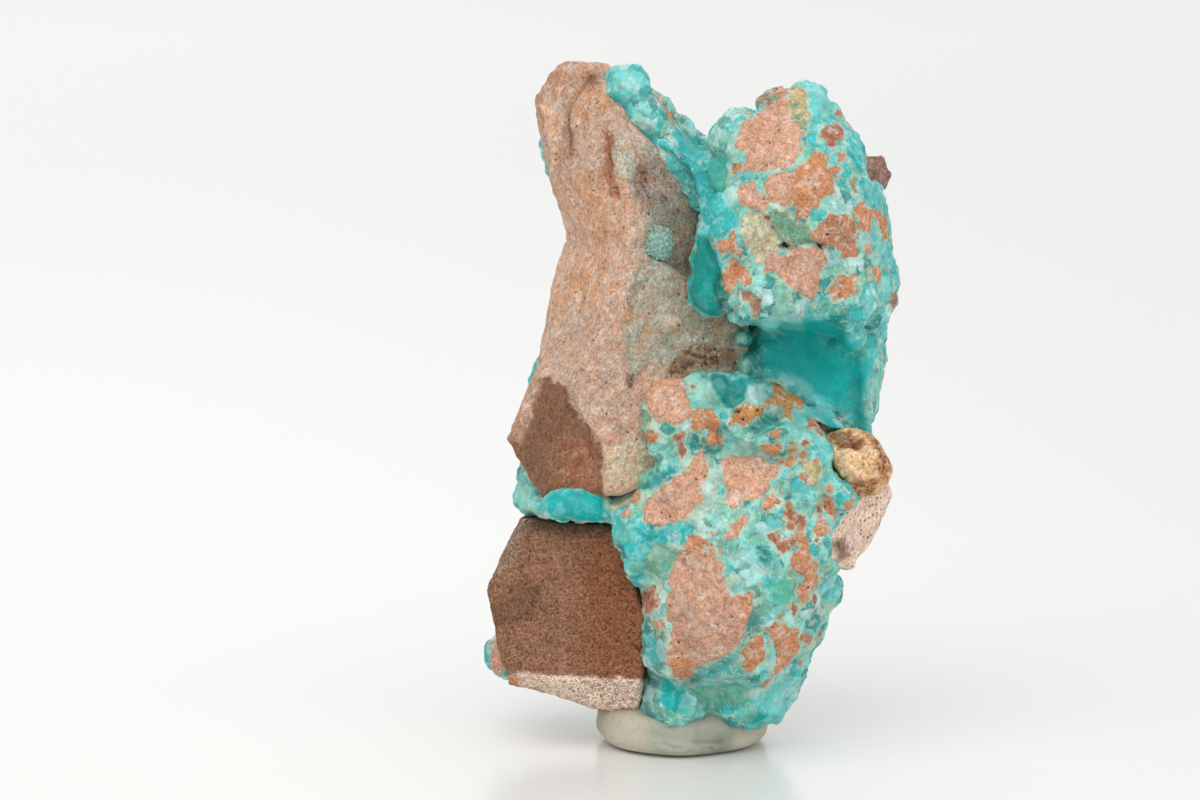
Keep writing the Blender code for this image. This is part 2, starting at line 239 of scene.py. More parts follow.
STONES = (
    Patch(Tint.SALMON, path(208, 353, 220, 366, 224, 362, 227, 344, 242, 323, 242, 300, 233, 284, 226, 278,
        190, 275, 175, 278, 172, 296, 163, 308, 172, 332), 0.25),
    Patch(Tint.ORANGE, path(160, 284, 175, 284, 178, 275, 162, 269, 156, 265), 0.1),
    Patch(Tint.BROWN_ORANGE, path(188, 359, 214, 376, 223, 374, 223, 366, 208, 354, 196, 353), 0.5),
    Patch(Tint.SAGE, path(216, 360, 214, 357, 202, 357, 199, 360, 208, 364, 214, 363), 0.6),
    Patch(Tint.OLIVE, path(223, 376, 235, 377, 247, 370, 250, 341, 244, 320, 227, 347), 0.2),
    Patch(Tint.SAGE, oval(23.2, 35.2, 0.55, 0.55), 0.25),
    Patch(Tint.SAGE, oval(23.9, 34, 0.5, 0.45), 0.25),
    Patch(Tint.SAGE, oval(24.2, 33, 0.4, 0.5), 0.25),
    Patch(Tint.ORANGE, oval(17.8, 34.6, 0.45, 0.15), 0.1),
    Patch(Tint.ORANGE, path(257, 296, 268, 295, 274, 290, 272, 278, 276, 269, 278, 245, 269, 242, 253, 227,
        247, 215, 239, 217, 232, 229, 232, 260, 227, 272, 247, 284), 0.6),
    Patch(Tint.SALMON, path(199, 263, 208, 269, 226, 272, 232, 257, 232, 229, 208, 236, 198, 253), 0.4),
    Patch(Tint.SALMON, path(162, 245, 169, 257, 184, 260, 204, 239, 204, 230, 193, 226, 169, 235), 0.35),
    Patch(Tint.CREAM, path(172, 223, 192, 224, 204, 221, 208, 200, 220, 187, 216, 175, 199, 169, 190, 161,
        180, 178, 172, 185, 169, 205), 0.1),
    Patch(Tint.RED_BROWN, oval(19.8, 21.9, 0.4, 0.35), 0.1),
    Patch(Tint.SAGE, path(204, 224, 220, 227, 232, 217, 256, 205, 263, 187, 232, 187, 223, 193, 216, 205,
        208, 209), 0.5),
    # Two dark sunk patches, painted as shadow under the ledges.
    Patch(Tint.DARK, path(217, 187, 226, 188, 230, 184, 227, 179, 218, 180), -0.9),
    Patch(Tint.DARK, path(262, 187, 271, 187, 272, 182, 264, 181), -0.8),
    Patch(Tint.BROWN_ORANGE, path(253, 200, 275, 221, 302, 223, 307, 206, 305, 187, 311, 178, 307, 172,
        287, 172, 281, 181, 256, 193), 0.4),
    # Two small dark sunk pits, painted as shadow in them.
    Patch(Tint.DARK, oval(28.8, 21.1, 0.34, 0.16), -0.4),
    Patch(Tint.DARK, oval(27.2, 20.1, 0.28, 0.15), -0.4),
    Patch(Tint.ORANGE, path(302, 230, 313, 239, 320, 230, 331, 227, 343, 218, 343, 203, 347, 196, 341, 193,
        335, 202, 331, 217, 323, 217, 323, 202, 314, 202), 0.45),
    Patch(Tint.ORANGE, path(136, 184, 142, 191, 154, 190, 157, 202, 163, 202, 163, 191, 169, 179, 169, 172,
        151, 179, 144, 173), 0.3),
    Patch(Tint.ORANGE, path(145, 151, 160, 173, 172, 166, 184, 139, 175, 136, 166, 139, 156, 127, 150,
        131), 0.4),
    Patch(Tint.PINK, path(196, 151, 198, 166, 208, 175, 220, 173, 235, 184, 256, 184, 271, 175, 271, 161,
        259, 154, 262, 133, 256, 118, 232, 133, 208, 155), 0.3),
    Patch(Tint.ORANGE, path(274, 130, 286, 149, 307, 149, 308, 133, 302, 119, 293, 125, 280, 119), 0.35),
    Patch(Tint.PINK, path(325, 175, 316, 175, 314, 181, 320, 190, 325, 187), 0.2),
    Patch(Tint.ORANGE, path(326, 160, 334, 161, 337, 151, 334, 142, 328, 146), 0.1),
    Patch(Tint.UMBER, path(169, 130, 181, 131, 193, 118, 193, 109, 186, 100, 180, 112), -0.6),
    Patch(Tint.RED_BROWN, path(263, 314, 268, 326, 286, 331, 292, 323, 292, 314, 274, 300), 0.3),
    Patch(Tint.ORANGE, path(281, 347, 293, 350, 298, 342, 287, 341), 0.2),
    Patch(Tint.ORANGE, path(283, 296, 292, 298, 295, 287, 287, 286), 0.1),
    Patch(Tint.ORANGE, path(275, 281, 287, 282, 289, 274, 281, 268, 275, 271), 0.1),
    Patch(Tint.ORANGE, path(302, 266, 308, 269, 308, 260, 305, 247, 302, 254), 0.1),
    Patch(Tint.RED_BROWN, path(353, 139, 359, 137, 360, 120, 354, 107, 350, 120), 0.2),
    Patch(Tint.SALMON, path(53, 7, 62, 19, 82, 24, 100, 22, 109, -13, 103, -28, 76, -28, 62, -19, 55, -5),
        0.5),
    Patch(Tint.ORANGE, path(109, -11, 136, -11, 146, -29, 140, -37, 115, -35, 108, -31), 0.5),
    Patch(Tint.ORANGE, path(124, -40, 136, -34, 146, -41, 148, -52, 136, -55, 124, -52), 1.1),
    Patch(Tint.RED_BROWN, path(88, -43, 96, -35, 102, -41, 97, -49, 103, -66, 96, -70), 0.3),
    Patch(Tint.SAGE, path(44, -11, 54, -13, 62, -24, 58, -34, 48, -29), 0),
    Patch(Tint.ORANGE, path(56, -38, 66, -37, 71, -44, 66, -52, 58, -49), 0.2),
    Patch(Tint.ORANGE, oval(11.2, 1.7, 0.35, 0.3), 0.1),
    Patch(Tint.OCHRE, path(155, -28, 162, -11, 176, -5, 193, -7, 205, 4, 206, 22, 215, 18, 223, 6, 233, 6,
        244, -5, 241, -11, 229, -11, 229, -23, 223, -23, 217, -8, 205, -7, 173, -30), 0.5),
    # Small dark sunk pits, painted as shadow in them.
    Patch(Tint.DARK, oval(16.6, -1.4, 0.26, 0.12), -0.25),
    Patch(Tint.DARK, oval(19, -1.2, 0.26, 0.1), -0.25),
    Patch(Tint.DARK, oval(17.4, -2.4, 0.26, 0.12), -0.25),
    Patch(Tint.DARK, oval(21.1, 1.6, 0.15, 0.15), -0.25),
    Patch(Tint.SALMON, path(146, -72, 156, -67, 194, -67, 197, -76, 214, -78, 214, -92, 205, -98, 200,
        -114, 176, -120, 156, -131, 150, -120, 155, -106, 146, -92), 0.35),
    Patch(Tint.SALMON, path(103, -82, 115, -66, 124, -62, 130, -86, 124, -98, 124, -120, 100, -145, 79,
        -151, 59, -151, 53, -140, 56, -120), 0.35),
    Patch(Tint.ORANGE, path(36, -119, 41, -110, 50, -112, 50, -120, 43, -126), 0.2),
    Patch(Tint.ORANGE, path(26, -133, 34, -128, 38, -136, 35, -143, 28, -142), 0.1),
    Patch(Tint.ORANGE, path(191, -55, 205, -53, 217, -60, 209, -66, 194, -62), 0.2),
    Patch(Tint.ORANGE, path(226, -66, 232, -64, 238, -68, 234, -73, 227, -72), 0.2),
    Patch(Tint.OLIVE, path(238, -73, 253, -72, 264, -84, 258, -102, 246, -96), 0.3),
    Patch(Tint.ORANGE, path(191, -125, 209, -112, 215, -122, 205, -131, 193, -132), 0.2),
    Patch(Tint.RED_BROWN, path(217, -134, 227, -131, 246, -143, 246, -152, 238, -152, 227, -145), 0.2),
    Patch(Tint.ORANGE, path(256, -146, 262, -134, 272, -149, 270, -161, 259, -163, 253, -155), 0.3),
    Patch(Tint.ORANGE, path(264, -126, 272, -114, 282, -125, 284, -140, 278, -146, 272, -138), 0.3),
    Patch(Tint.SALMON, path(152, -164, 161, -149, 173, -137, 180, -138, 164, -163, 152, -172), 0.2),
    Patch(Tint.ORANGE, path(106, -174, 108, -161, 118, -160, 136, -172, 134, -178, 115, -182, 95, -180),
        0.45),
    Patch(Tint.SALMON, path(95, -182, 137, -180, 145, -197, 152, -234, 140, -252, 89, -235, 83, -221, 86,
        -206, 94, -191), 0.35),
    Patch(Tint.PINK, path(83, -229, 140, -245, 140, -252, 152, -235, 182, -232, 184, -252, 166, -292, 149,
        -306, 132, -314, 114, -318, 112, -329, 97, -335, 83, -320, 80, -302, 86, -277, 82, -257), 0.45),
    Patch(Tint.ORANGE, path(82, -300, 91, -293, 108, -306, 112, -329, 97, -335, 83, -320), 0.4),
    Patch(Tint.ORANGE, path(166, -235, 182, -233, 184, -252, 174, -269, 170, -254), 0.5),
    Patch(Tint.RED_BROWN, path(43, -252, 54, -228, 68, -220, 72, -244, 62, -257, 49, -258), 0.3),
    Patch(Tint.ORANGE, path(60, -266, 78, -265, 77, -272, 68, -276), 0.1),
    Patch(Tint.ORANGE, path(223, -197, 246, -174, 260, -203, 260, -220, 252, -235, 241, -244, 238, -228,
        244, -209, 234, -206), 0.4),
    Patch(Tint.RED_BROWN, path(200, -163, 215, -160, 223, -168, 226, -180, 217, -184, 209, -174), 0.2),
    Patch(Tint.ORANGE, path(232, -162, 240, -160, 248, -166, 244, -172, 234, -170), 0.2),
    Patch(Tint.ORANGE, path(169, -306, 180, -286, 192, -283, 200, -308, 180, -326, 172, -320), 0.3),
    Patch(Tint.ORANGE, path(198, -272, 209, -266, 238, -275, 238, -292, 229, -310, 194, -347, 192, -341,
        203, -329, 212, -312, 212, -298), 0.3),
    Patch(Tint.ORANGE, path(241, -283, 252, -281, 253, -292, 245, -298), 0.2),
    Patch(Tint.RED_BROWN, path(229, -244, 236, -242, 238, -253, 232, -258), 0.1),
    Patch(Tint.ORANGE, path(292, -122, 302, -120, 308, -127, 300, -133, 293, -131), 0.2),
    Patch(Tint.PINK, path(275, -252, 286, -244, 283, -254, 275, -263), 0.1),
    Patch(Tint.BROWN_ORANGE, path(247, -22, 262, -24, 274, -34, 276, -43, 262, -40, 251, -31), 0.2),
    Patch(Tint.PINK, path(-132, -290, -120, -286, -112, -310, -116, -330, -129, -332, -130, -310), 0.1),
    Patch(Tint.SALMON, path(65, 370, 74, 364, 94, 334, 92, 329, 82, 338), 0.05),
)

GROWTH = (
    Zone(Tint.MIXED, path(14, -120, 48, 18, 120, 34, 240, -12, 276, -60, 282, -168, 258, -288, 228, -348,
        120, -378, 60, -348, 54, -240, 30, -192), 1.5, 1),
    Zone(Tint.MIXED, path(174, 336, 228, 372, 254, 360, 282, 288, 330, 216, 336, 168, 300, 108, 168, 132,
        150, 180, 156, 264), 1.5, 1),
    Zone(Tint.DEEP, path(120, 262, 139, 257, 142, 238, 126, 234), 0.5, 0.3),
    # The set-back bulb: its own deep teal, darkened further as painted shade.
    Zone(Tint.DEEP, path(110, 200, 132, 196, 140, 164, 154, 130, 158, 100, 136, 82, 110, 90, 96, 126),
        0.35, 0.08),
    Zone(Tint.BRIGHT, path(119, 234, 146, 258, 168, 240, 174, 210, 144, 192, 125, 192), 1, 0.5),
    Zone(Tint.LIGHT, path(241, 346, 239, 366, 247, 385, 262, 382, 283, 362, 286, 346, 264, 336, 250, 338),
        0.6, 0.5),
    Zone(Tint.MID, path(250, 336, 276, 346, 295, 336, 300, 300, 298, 270, 271, 298, 247, 300, 242, 317),
        0.8, 0.8),
    Zone(Tint.BRIGHT, path(318, 262, 341, 257, 352, 240, 352, 204, 341, 186, 322, 234), 0.6, 0.4),
    Zone(Tint.PALE, path(130, 312, 134, 346, 156, 350, 170, 346, 163, 300, 168, 288, 156, 274, 134, 288),
        0.6, 0.8),
    Zone(Tint.BALL, path(122, 282, 134, 295, 151, 290, 154, 270, 146, 252, 130, 254), 0.25, 0.2),
    Zone(Tint.BRIGHT, path(114, 274, 125, 272, 128, 258, 125, 244, 115, 252), 0.25, 0.2),
    Zone(Tint.PALE, path(144, 120, 166, 125, 180, 98, 222, 90, 240, 96, 246, 78, 216, 66, 180, 78, 154,
        96), 0.8, 1.2),
    Zone(Tint.WHITISH, path(198, 132, 228, 130, 252, 116, 240, 94, 204, 96, 186, 114), 0.7, 1),
    Zone(Tint.WHITISH, path(278, 276, 298, 264, 314, 240, 302, 226, 280, 223, 276, 246), 0.6, 1),
    Zone(Tint.WHITISH, path(266, 175, 294, 170, 307, 166, 288, 150, 264, 154), 0.5, 1),
    Zone(Tint.MID, path(270, 120, 312, 118, 342, 166, 352, 132, 336, 66, 300, 66, 274, 90), 0.8, 0.9),
    Zone(Tint.DEEP, path(266, 118, 286, 116, 298, 90, 290, 66, 271, 74), 0.6, 0.7),
    Zone(Tint.LIGHT, path(4, 398, 30, 406, 55, 384, 62, 366, 48, 350, 29, 360, 12, 379), 0.5, 0.6),
    Zone(Tint.FROST, path(36, 358, 60, 362, 68, 346, 65, 326, 48, 324, 36, 338), 0.35, 1),
    Zone(Tint.FROST, path(86, 340, 108, 336, 130, 318, 125, 312, 101, 326), 0.35, 1),
    Zone(Tint.BRIGHT, path(86, 317, 108, 322, 127, 312, 128, 288, 115, 286, 96, 300), 0.4, 0.2),
    Zone(Tint.SEAGREEN, path(36, 350, 53, 346, 60, 331, 50, 326, 38, 336), 0.4, 0.8),
    # Painted shadow under the upper lobe, across the top of the vug.
    Zone(Tint.VUG_SHADOWED, path(173, 90, 276, 90, 300, 58, 288, 18, 170, 38), 1.5, 0.15),
    Zone(Tint.VUG, path(228, 48, 312, 60, 341, 60, 334, -30, 300, -24, 264, 6), 1.5, 0.15),
    Zone(Tint.PALE, path(326, 24, 341, 66, 348, 34, 343, -24, 322, -22, 319, 0), 0.7, 0.8),
    Zone(Tint.HALO, path(146, -55, 204, -48, 252, -48, 266, -84, 264, -120, 216, -120, 204, -114, 216, -96,
        210, -74, 174, -62, 146, -67), 0.4, 0.8),
    Zone(Tint.HALO, path(48, -120, 120, -59, 139, -62, 146, -96, 144, -144, 120, -156, 72, -158, 48, -151),
        0.4, 0.8),
    Zone(Tint.HALO, path(66, -210, 86, -174, 108, -154, 134, -162, 154, -204, 192, -228, 199, -276, 180,
        -306, 120, -348, 86, -343, 66, -288), 0.5, 0.8),
    Zone(Tint.POOL_TEAL_AND_SHADE, path(124, 36, 136, 38, 173, 22, 182, 13, 173, -1, 156, -11, 144, -1, 126, 25), 0.35,
        0.15),
    Zone(Tint.PALE, path(103, 22, 112, 31, 120, 34, 132, 25, 140, 1, 134, -7, 124, -11, 106, 7), 0.25, 0.4),
    Zone(Tint.POOL_TEAL_AND_SHADE, path(179, -34, 193, -19, 206, -11, 220, -14, 223, -28, 209, -40, 193, -41, 180, -38),
        0.3, 0.4, -0.9),
    Zone(Tint.FROST, path(182, 17, 199, 22, 204, 5, 187, -2, 174, -2), 0.4, 0.8),
    Zone(Tint.LIGHT, path(216, 34, 240, 26, 286, -22, 247, -14, 235, 5, 223, 12), 0.5, 0.7),
    Zone(Tint.MIXED, path(190, -44, 240, -24, 274, -40, 280, -90, 276, -156, 240, -184, 204, -144, 224,
        -86), 0.8, 1.8),
    Zone(Tint.MIXED, path(210, -260, 246, -240, 264, -180, 280, -170, 274, -260, 240, -330), 0.7, 1.7),
    Zone(Tint.PALE, path(156, -49, 167, -47, 185, -52, 188, -60, 176, -66, 162, -64), 0.3, 0.4),
    Zone(Tint.SEAGREEN, path(44, -11, 62, -24, 86, -34, 108, -34, 120, -48, 96, -84, 72, -102, 48, -108,
        30, -84, 74, -72, 82, -58, 48, -46), 0.6, 0.8),
    Zone(Tint.POOL_TEAL_AND_SHADE, path(49, -102, 65, -90, 85, -82, 91, -90, 76, -102, 50, -110), 0.25, 0.5),
    Zone(Tint.POOL_TEAL_AND_SHADE, path(100, -46, 109, -37, 124, -43, 126, -53, 146, -58, 144, -62, 108, -60), 0.3, 0.4),
    Zone(Tint.GREEN, path(41, -126, 55, -115, 60, -130, 55, -144, 43, -142), 0.3, 0.5),
    Zone(Tint.PALE, path(4, -98, 24, -101, 34, -110, 19, -126, 7, -120), 0.3, 0.4),
    Zone(Tint.CREAM, path(6, -116, 14, -127, 38, -108, 34, -124, 14, -137, 5, -127), 0.2, 0.4),
    Zone(Tint.BRIGHT, path(16, -143, 108, -146, 120, -163, 108, -174, 60, -174, 48, -240, 36, -216), 0.4,
        0.6),
    Zone(Tint.BRIGHT, path(227, -94, 238, -90, 250, -106, 246, -114, 229, -110), 0.2, 0.3),
    Zone(Tint.LIGHT, path(256, -49, 266, -48, 278, -66, 278, -84, 266, -78), 0.3, 0.4),
    Zone(Tint.LIGHT, path(197, -140, 206, -137, 220, -146, 217, -157, 203, -158), 0.2, 0.3),
    Zone(Tint.SAGE, path(52, -191, 60, -175, 78, -172, 91, -180, 92, -194, 83, -209, 62, -209, 52, -203),
        0.3, 0.4),
    Zone(Tint.WHITISH, path(157, -184, 172, -180, 186, -184, 198, -197, 203, -211, 175, -221), 0.35, 0.6),
    Zone(Tint.SEAGREEN, path(180, -163, 190, -160, 198, -168, 194, -175, 182, -174), 0.2, 0.3),
    Zone(Tint.POOL_TEAL_AND_SHADE, path(190, -178, 202, -175, 208, -187, 204, -198, 192, -194), 0.25, 0.4),
    Zone(Tint.GREEN, path(204, -223, 220, -215, 235, -221, 235, -244, 221, -252, 204, -235), 0.25, 0.3),
    Zone(Tint.WHITISH, path(218, -247, 235, -252, 240, -270, 223, -269), 0.4, 0.6),
    # Grey teal along the seam with the lower block, partly painted shade in the crevice there.
    Zone(Tint.TEAL_GREY, path(54, -254, 77, -276, 82, -306, 72, -348, 53, -348, 48, -300), 0.5, 0.6),
    Zone(Tint.TEAL_GREY, path(174, -245, 194, -247, 194, -278, 178, -300, 154, -322, 120, -338, 101, -341,
        115, -326, 149, -312, 170, -288), 0.4, 0.6),
    Zone(Tint.SEAGREEN, path(108, -348, 137, -338, 162, -336, 182, -343, 180, -360, 144, -367, 115, -362),
        0.4, 0.4),
    Zone(Tint.VIVID, path(74, -329, 91, -343, 112, -358, 103, -377, 83, -374, 72, -354), 0.35, 0.3),
    Zone(Tint.TEAL_GREY, path(41, -340, 58, -348, 74, -360, 71, -398, 48, -394, 38, -366), 0.5, 0.5),
    Zone(Tint.VIVID, path(175, -378, 198, -374, 218, -379, 211, -403, 186, -398), 0.4, 0.4),
    Zone(Tint.LIGHT, path(192, -348, 228, -336, 240, -348, 228, -372, 204, -377, 186, -367), 0.5, 0.5),
    Zone(Tint.LIGHT, path(269, -206, 298, -203, 301, -212, 295, -223, 295, -235, 277, -248, 266, -235),
        0.3, 0.8),
    Zone(Tint.FROST, path(280, -23, 294, -20, 307, -29, 300, -34, 286, -32), 0.25, 0.8),
    # Painted shadow in the crevice along the slab's right edge.
    Zone(Tint.POOL_TEAL_AND_SHADE, path(166, 90, 188, 90, 198, 50, 190, 26, 170, 24), 0.7, 0.5),
    Zone(Tint.PALE, oval(16.8, 7.5, 0.9, 0.8), 0.25, 0.5),
    Zone(Tint.PALE, oval(17.2, 4, 1, 1.4), 0.25, 0.5),
    Zone(Tint.VIVID, path(-66, -114, -30, -106, 7, -113, 7, -146, -48, -149, -66, -138), 0.4, 0.2),
    Zone(Tint.PALE, path(-103, -60, -86, -84, -78, -114, -66, -138, -78, -146, -98, -132, -106, -96), 0.6,
        0.6),
)

UPPER_ROCK_ZONES = (
    Zone(Tint.BLADE, path(-76, 374, -38, 408, -12, 401, -30, 378, -41, 353, -40, 319, -34, 288, -20, 252,
        -36, 228, -53, 264, -62, 300, -82, 336), 1.2, 0.1),
    # These two zones are painted shadow in the groove at the top of the blade.
    Zone(Tint.NOTCH_SHADOW, path(-18, 394, -2, 396, 0, 378, -26, 354, -38, 350, -34, 366, -22, 382), 0.6, 0.3),
    Zone(Tint.NOTCH_SHADOW, path(-22, 384, -14, 382, -30, 352, -36, 330, -32, 295, -40, 292, -46, 326, -40, 356),
        0.5, 0.3),
    Zone(Tint.PEACH, path(-68, 352, -59, 356, -51, 326, -47, 286, -53, 280, -61, 316), 0.4, 0.1),
    Zone(Tint.PEACH, path(-36, 342, -27, 358, -7, 366, 8, 362, -24, 349, -31, 336), 0.3, 0.1),
    Zone(Tint.WARM, path(-34, 370, 5, 377, 17, 355, -10, 336, -31, 338), 1.2, 0.2),
    Zone(Tint.WARM, path(-53, 120, -30, 156, 0, 174, 12, 132, -12, 84, -48, 66, -62, 84), 2, 0.2),
    Zone(Tint.WARM, path(-30, 264, 6, 282, 24, 240, 26, 192, 0, 166, -22, 204), 2, 0.25),
    Zone(Tint.LOWSLAB, path(-74, 66, -48, 106, 0, 118, 26, 66, 34, 0, 78, -36, 0, -62, -59, 26), 2, 0.35),
    Zone(Tint.GREY, path(48, 318, 74, 312, 114, 274, 134, 246, 134, 210, 120, 166, 144, 120, 180, 94, 190,
        66, 174, 26, 72, 31, 36, 22, 29, 66, 31, 120, 38, 161, 54, 185, 54, 222, 43, 240, 38, 270), 0.7,
        0.35),
    Zone(Tint.SPECKLED, path(38, 282, 60, 290, 86, 276, 96, 252, 82, 234, 54, 230, 41, 246), 0.7, 0.75),
    Zone(Tint.DARKGREEN, path(78, 228, 125, 235, 127, 166, 108, 150, 86, 166, 72, 198), 1, 0.6),
    Zone(Tint.RED_BROWN, path(2, 324, 12, 326, 16, 312, 13, 290, 15, 265, 23, 242, 17, 240, 8, 264), 0.35,
        0.9),
    Zone(Tint.SMOOTH, path(19, 320, 28, 311, 35, 312, 47, 287, 35, 260, 19, 269, 16, 287), 0.12, 0, 0.35),
    Zone(Tint.REDGREY, path(46, 280, 58, 276, 62, 266, 54, 256, 46, 264), 0.7, 1),
    Zone(Tint.CREAMFOOT, path(0, -56, 47, -50, 78, -59, 77, -74, 60, -89, 24, -106, 2, -96), 0.35, 0.1),
    Zone(Tint.PALEKNOB, path(70, 96, 77, 102, 86, 103, 95, 98, 95, 89, 86, 82, 76, 80, 70, 86), 0.25, 0.2,
        0.7),
    Zone(Tint.OCHRE, path(29, 110, 36, 106, 41, 98, 36, 91, 29, 98), 0.4, 0.2),
    Zone(Tint.UMBER, path(82, 34, 96, 56, 110, 65, 127, 67, 162, 60, 166, 42, 120, 39, 103, 29, 86, 26),
        0.5, 1, -0.3),
    Zone(Tint.DARK, path(106, 59, 120, 52, 135, 50, 134, 47, 119, 48, 105, 55), 0.15, 0.5, -0.4),
    Zone(Tint.DARK, path(86, 34, 104, 42, 116, 47, 116, 44, 102, 37, 87, 30), 0.15, 0.5, -0.4),
    Zone(Tint.REDGREY, path(31, 32, 42, 30, 41, 12, 30, 16), 0.5, 1),
    Zone(Tint.FACET, path(-76, 28, -59, 30, -43, 13, -28, -19, 0, -56, 4, -120, -66, -120, -84, -102, -120,
        -46), 0.15, 0.12),
    Zone(Tint.FACETWARM, path(-41, -48, -7, -48, 1, -78, 2, -118, -48, -118, -53, -84), 1.3, 0.2),
    # Painted light on the facet's left face, along its ridge.
    Zone(Tint.STRIP, path(-71, 34, -74, 10, -95, -50, -114, -48, -101, -6, -84, 34), 0.5, 0.15),
)

LOWER_ROCK_ZONES = (
    Zone(Tint.WARMBLOCK, path(-18, -162, 18, -150, 60, -240, 54, -348, -12, -348, -24, -264), 2.2, 0.2),
    # Painted shadow cast by the vein's overhang across the top of the block.
    Zone(Tint.PAINTED_BAND_SHADOW, path(-108, -130, 12, -130, 17, -158, -48, -161, -106, -156), 0.9, 0.2),
    Zone(Tint.TOPLEFT, path(-120, -134, -86, -139, -96, -174, -114, -210, -132, -198), 1, 0.3),
    # Painted shade on the sunk chipped facet below the chip line.
    Zone(Tint.CHIPPED_SHADE, path(-137, -248, -127, -248, -110, -240, -84, -220, -77, -223, -71, -240, -84, -266,
        -114, -274, -132, -269), 0.35, 0.3, -0.35),
    Zone(Tint.PINKBAND, path(-120, -331, -96, -326, 49, -336, 72, -348, 60, -408, -24, -396, -120, -360),
        0.15, 0.6),
    Zone(Tint.ORANGE, path(-120, -330, -98, -330, -96, -348, -120, -348), 0.4, 0.4),
)

NODULE_ZONES = (
    Zone(Tint.NODULE_RIM, path(266, -30, 285, -37, 300, -38, 305, -48, 290, -54, 276, -48), 0.4),
    Zone(Tint.NODULE_RIM, path(316, -40, 336, -46, 348, -70, 345, -100, 332, -92, 334, -66), 0.6),
    Zone(Tint.NODULE_RIM, path(296, -98, 336, -94, 330, -116, 300, -114), 0.5),
    # Painted shade: the hollow under the rim, darkest at one spot.
    Zone(Tint.HOLLOW_SHADE, path(276, -36, 296, -42, 314, -44, 320, -54, 306, -60, 286, -56), 0.3, 0.7, -0.6),
    Zone(Tint.DARK, path(300, -50, 308, -49, 307, -55, 301, -56), 0.2, 0.3, -0.4),
    Zone(Tint.UMBER, path(275, -36, 294, -39, 300, -46, 288, -50), 0.3, 0.5, -0.3),
)

SIDE_ZONES = (
    Zone(Tint.RED_BROWN, path(290, -106, 310, -104, 312, -116, 296, -122), 0.4, 1),
    Zone(Tint.OLIVE, path(300, -96, 336, -98, 342, -108, 314, -108), 0.4, 0.5),
    Zone(Tint.REDGREY, path(280, -170, 292, -166, 300, -186, 286, -198), 0.6, 0.8),
)

PUTTY_ZONES = (
    # Painted shade over the pad's middle and right, deepest right of the middle.
    Zone(Tint.PUTTY_SHADOW_AND_SMUDGE, path(48, -370, 170, -370, 164, -434, 60, -436), 1.2),
    Zone(Tint.PUTTY_DEEP_SHADOW, path(114, -400, 158, -400, 156, -430, 120, -430), 0.9),
)

# Where the viewer sees bare rock: the Y in mm in front of which no crust stands, and the outline.
BARE = (
    (-3, path(2, -97, 13, -89, 30, -94, 41, -94, 66, -82, 73, -71, 60, -61, 58, -48, 48, -34, 46, 1, 54,
        17, 64, 23, 103, 26, 110, 34, 128, 41, 158, 36, 162, 48, 171, 52, 173, 64, 160, 68, 162, 82, 168,
        95, 134, 98, 119, 106, 109, 116, 104, 132, 108, 150, 109, 170, 126, 245, 116, 252, 114, 269, 82,
        302, 62, 308, 58, 313, 48, 316, 38, 323, 7, 382, 4, 396, -48, 420, -144, 336, -120, 120, -120, -48,
        -95, -74, -88, -94, -79, -106, -71, -125, -62, -112, -44, -106, 0, -110, 8, -114)),
    (-1, path(-96, -140, -86, -138, -26, -145, 14, -145, 18, -149, 13, -161, 14, -169, 26, -182, 32, -194,
        30, -202, 35, -216, 42, -222, 36, -233, 38, -251, 53, -266, 54, -278, 50, -294, 48, -336, 50, -360,
        43, -374, 40, -392, -48, -408, -156, -360, -144, -168)),
    (0, path(259, -25, 275, -34, 287, -37, 305, -36, 322, -41, 337, -56, 396, -74, 396, -120, 336, -192,
        301, -199, 294, -205, 283, -200, 277, -192, 274, -180, 276, -164, 307, -124, 319, -112, 287, -96,
        277, -74, 278, -56, 269, -38)),
    (6, path(317, 290, 331, 292, 355, 283, 355, 252, 341, 258, 319, 266)),
)

GROOVES = (
    Groove(path(-11, 398, -26, 377, -41, 353, -44, 336, -40, 319, -30, 288), 0.7, 0.6),
    Groove(path(-73, 361, -59, 335, -52, 290, -34, 236), 0.6, -0.45),
    Groove(path(-34, 326, -33, 349, -24, 359, -5, 364), 0.3, -0.35),
    Groove(path(-22, 315, -24, 336, -16, 346, 4, 350), 0.25, 0.3),
    Groove(path(5, 318, 12, 285, 17, 262, 22, 239), 0.3, 0.4),
    Groove(path(49, 168, 40, 151, 32, 126, 30, 107, 28, 72, 24, 46, 21, 26), 0.5, -0.3),
    Groove(path(30, 92, 29, 72), 0.25, 0.5),
    Groove(path(-83, -218, -108, -231, -129, -247), 0.35, 0.55),
    Groove(path(-75, 26, -86, 0, -96, -30, -107, -47), 0.4, -0.35),
    Groove(path(-43, 14, -28, -20, -10, -41, 0, -56, 2, -78), 0.3, 0.4),
    Groove(path(124, 188, 133, 166, 142, 148, 142, 131, 149, 114, 160, 98), 0.4, 0.9),
    Groove(path(122, 266, 124, 282, 131, 293, 139, 296, 151, 292, 157, 280), 0.3, 0.6),
    Groove(path(125, 262, 133, 251, 146, 252, 156, 264), 0.3, 0.6),
    Groove(path(126, 334, 122, 312, 127, 298), 0.35, 0.7),
    Groove(path(148, -23, 162, -40, 184, -48, 209, -44, 228, -35), 0.3, -0.45),
    Groove(path(199, 217, 211, 199, 223, 187), 0.2, 0.6),
    Groove(path(232, 184, 247, 190, 263, 187), 0.25, 0.7),
    Groove(path(145, -194, 148, -209, 151, -223), 0.2, 0.4),
    Groove(path(65, -404, 92, -408, 115, -412, 132, -413, 148, -412), 0.3, 0.3),
    Groove(path(115, -413, 126, -418, 139, -424), 0.3, 0.25),
    Groove(path(76, -413, 84, -419, 97, -420, 101, -415), 0.3, 0.2),
)

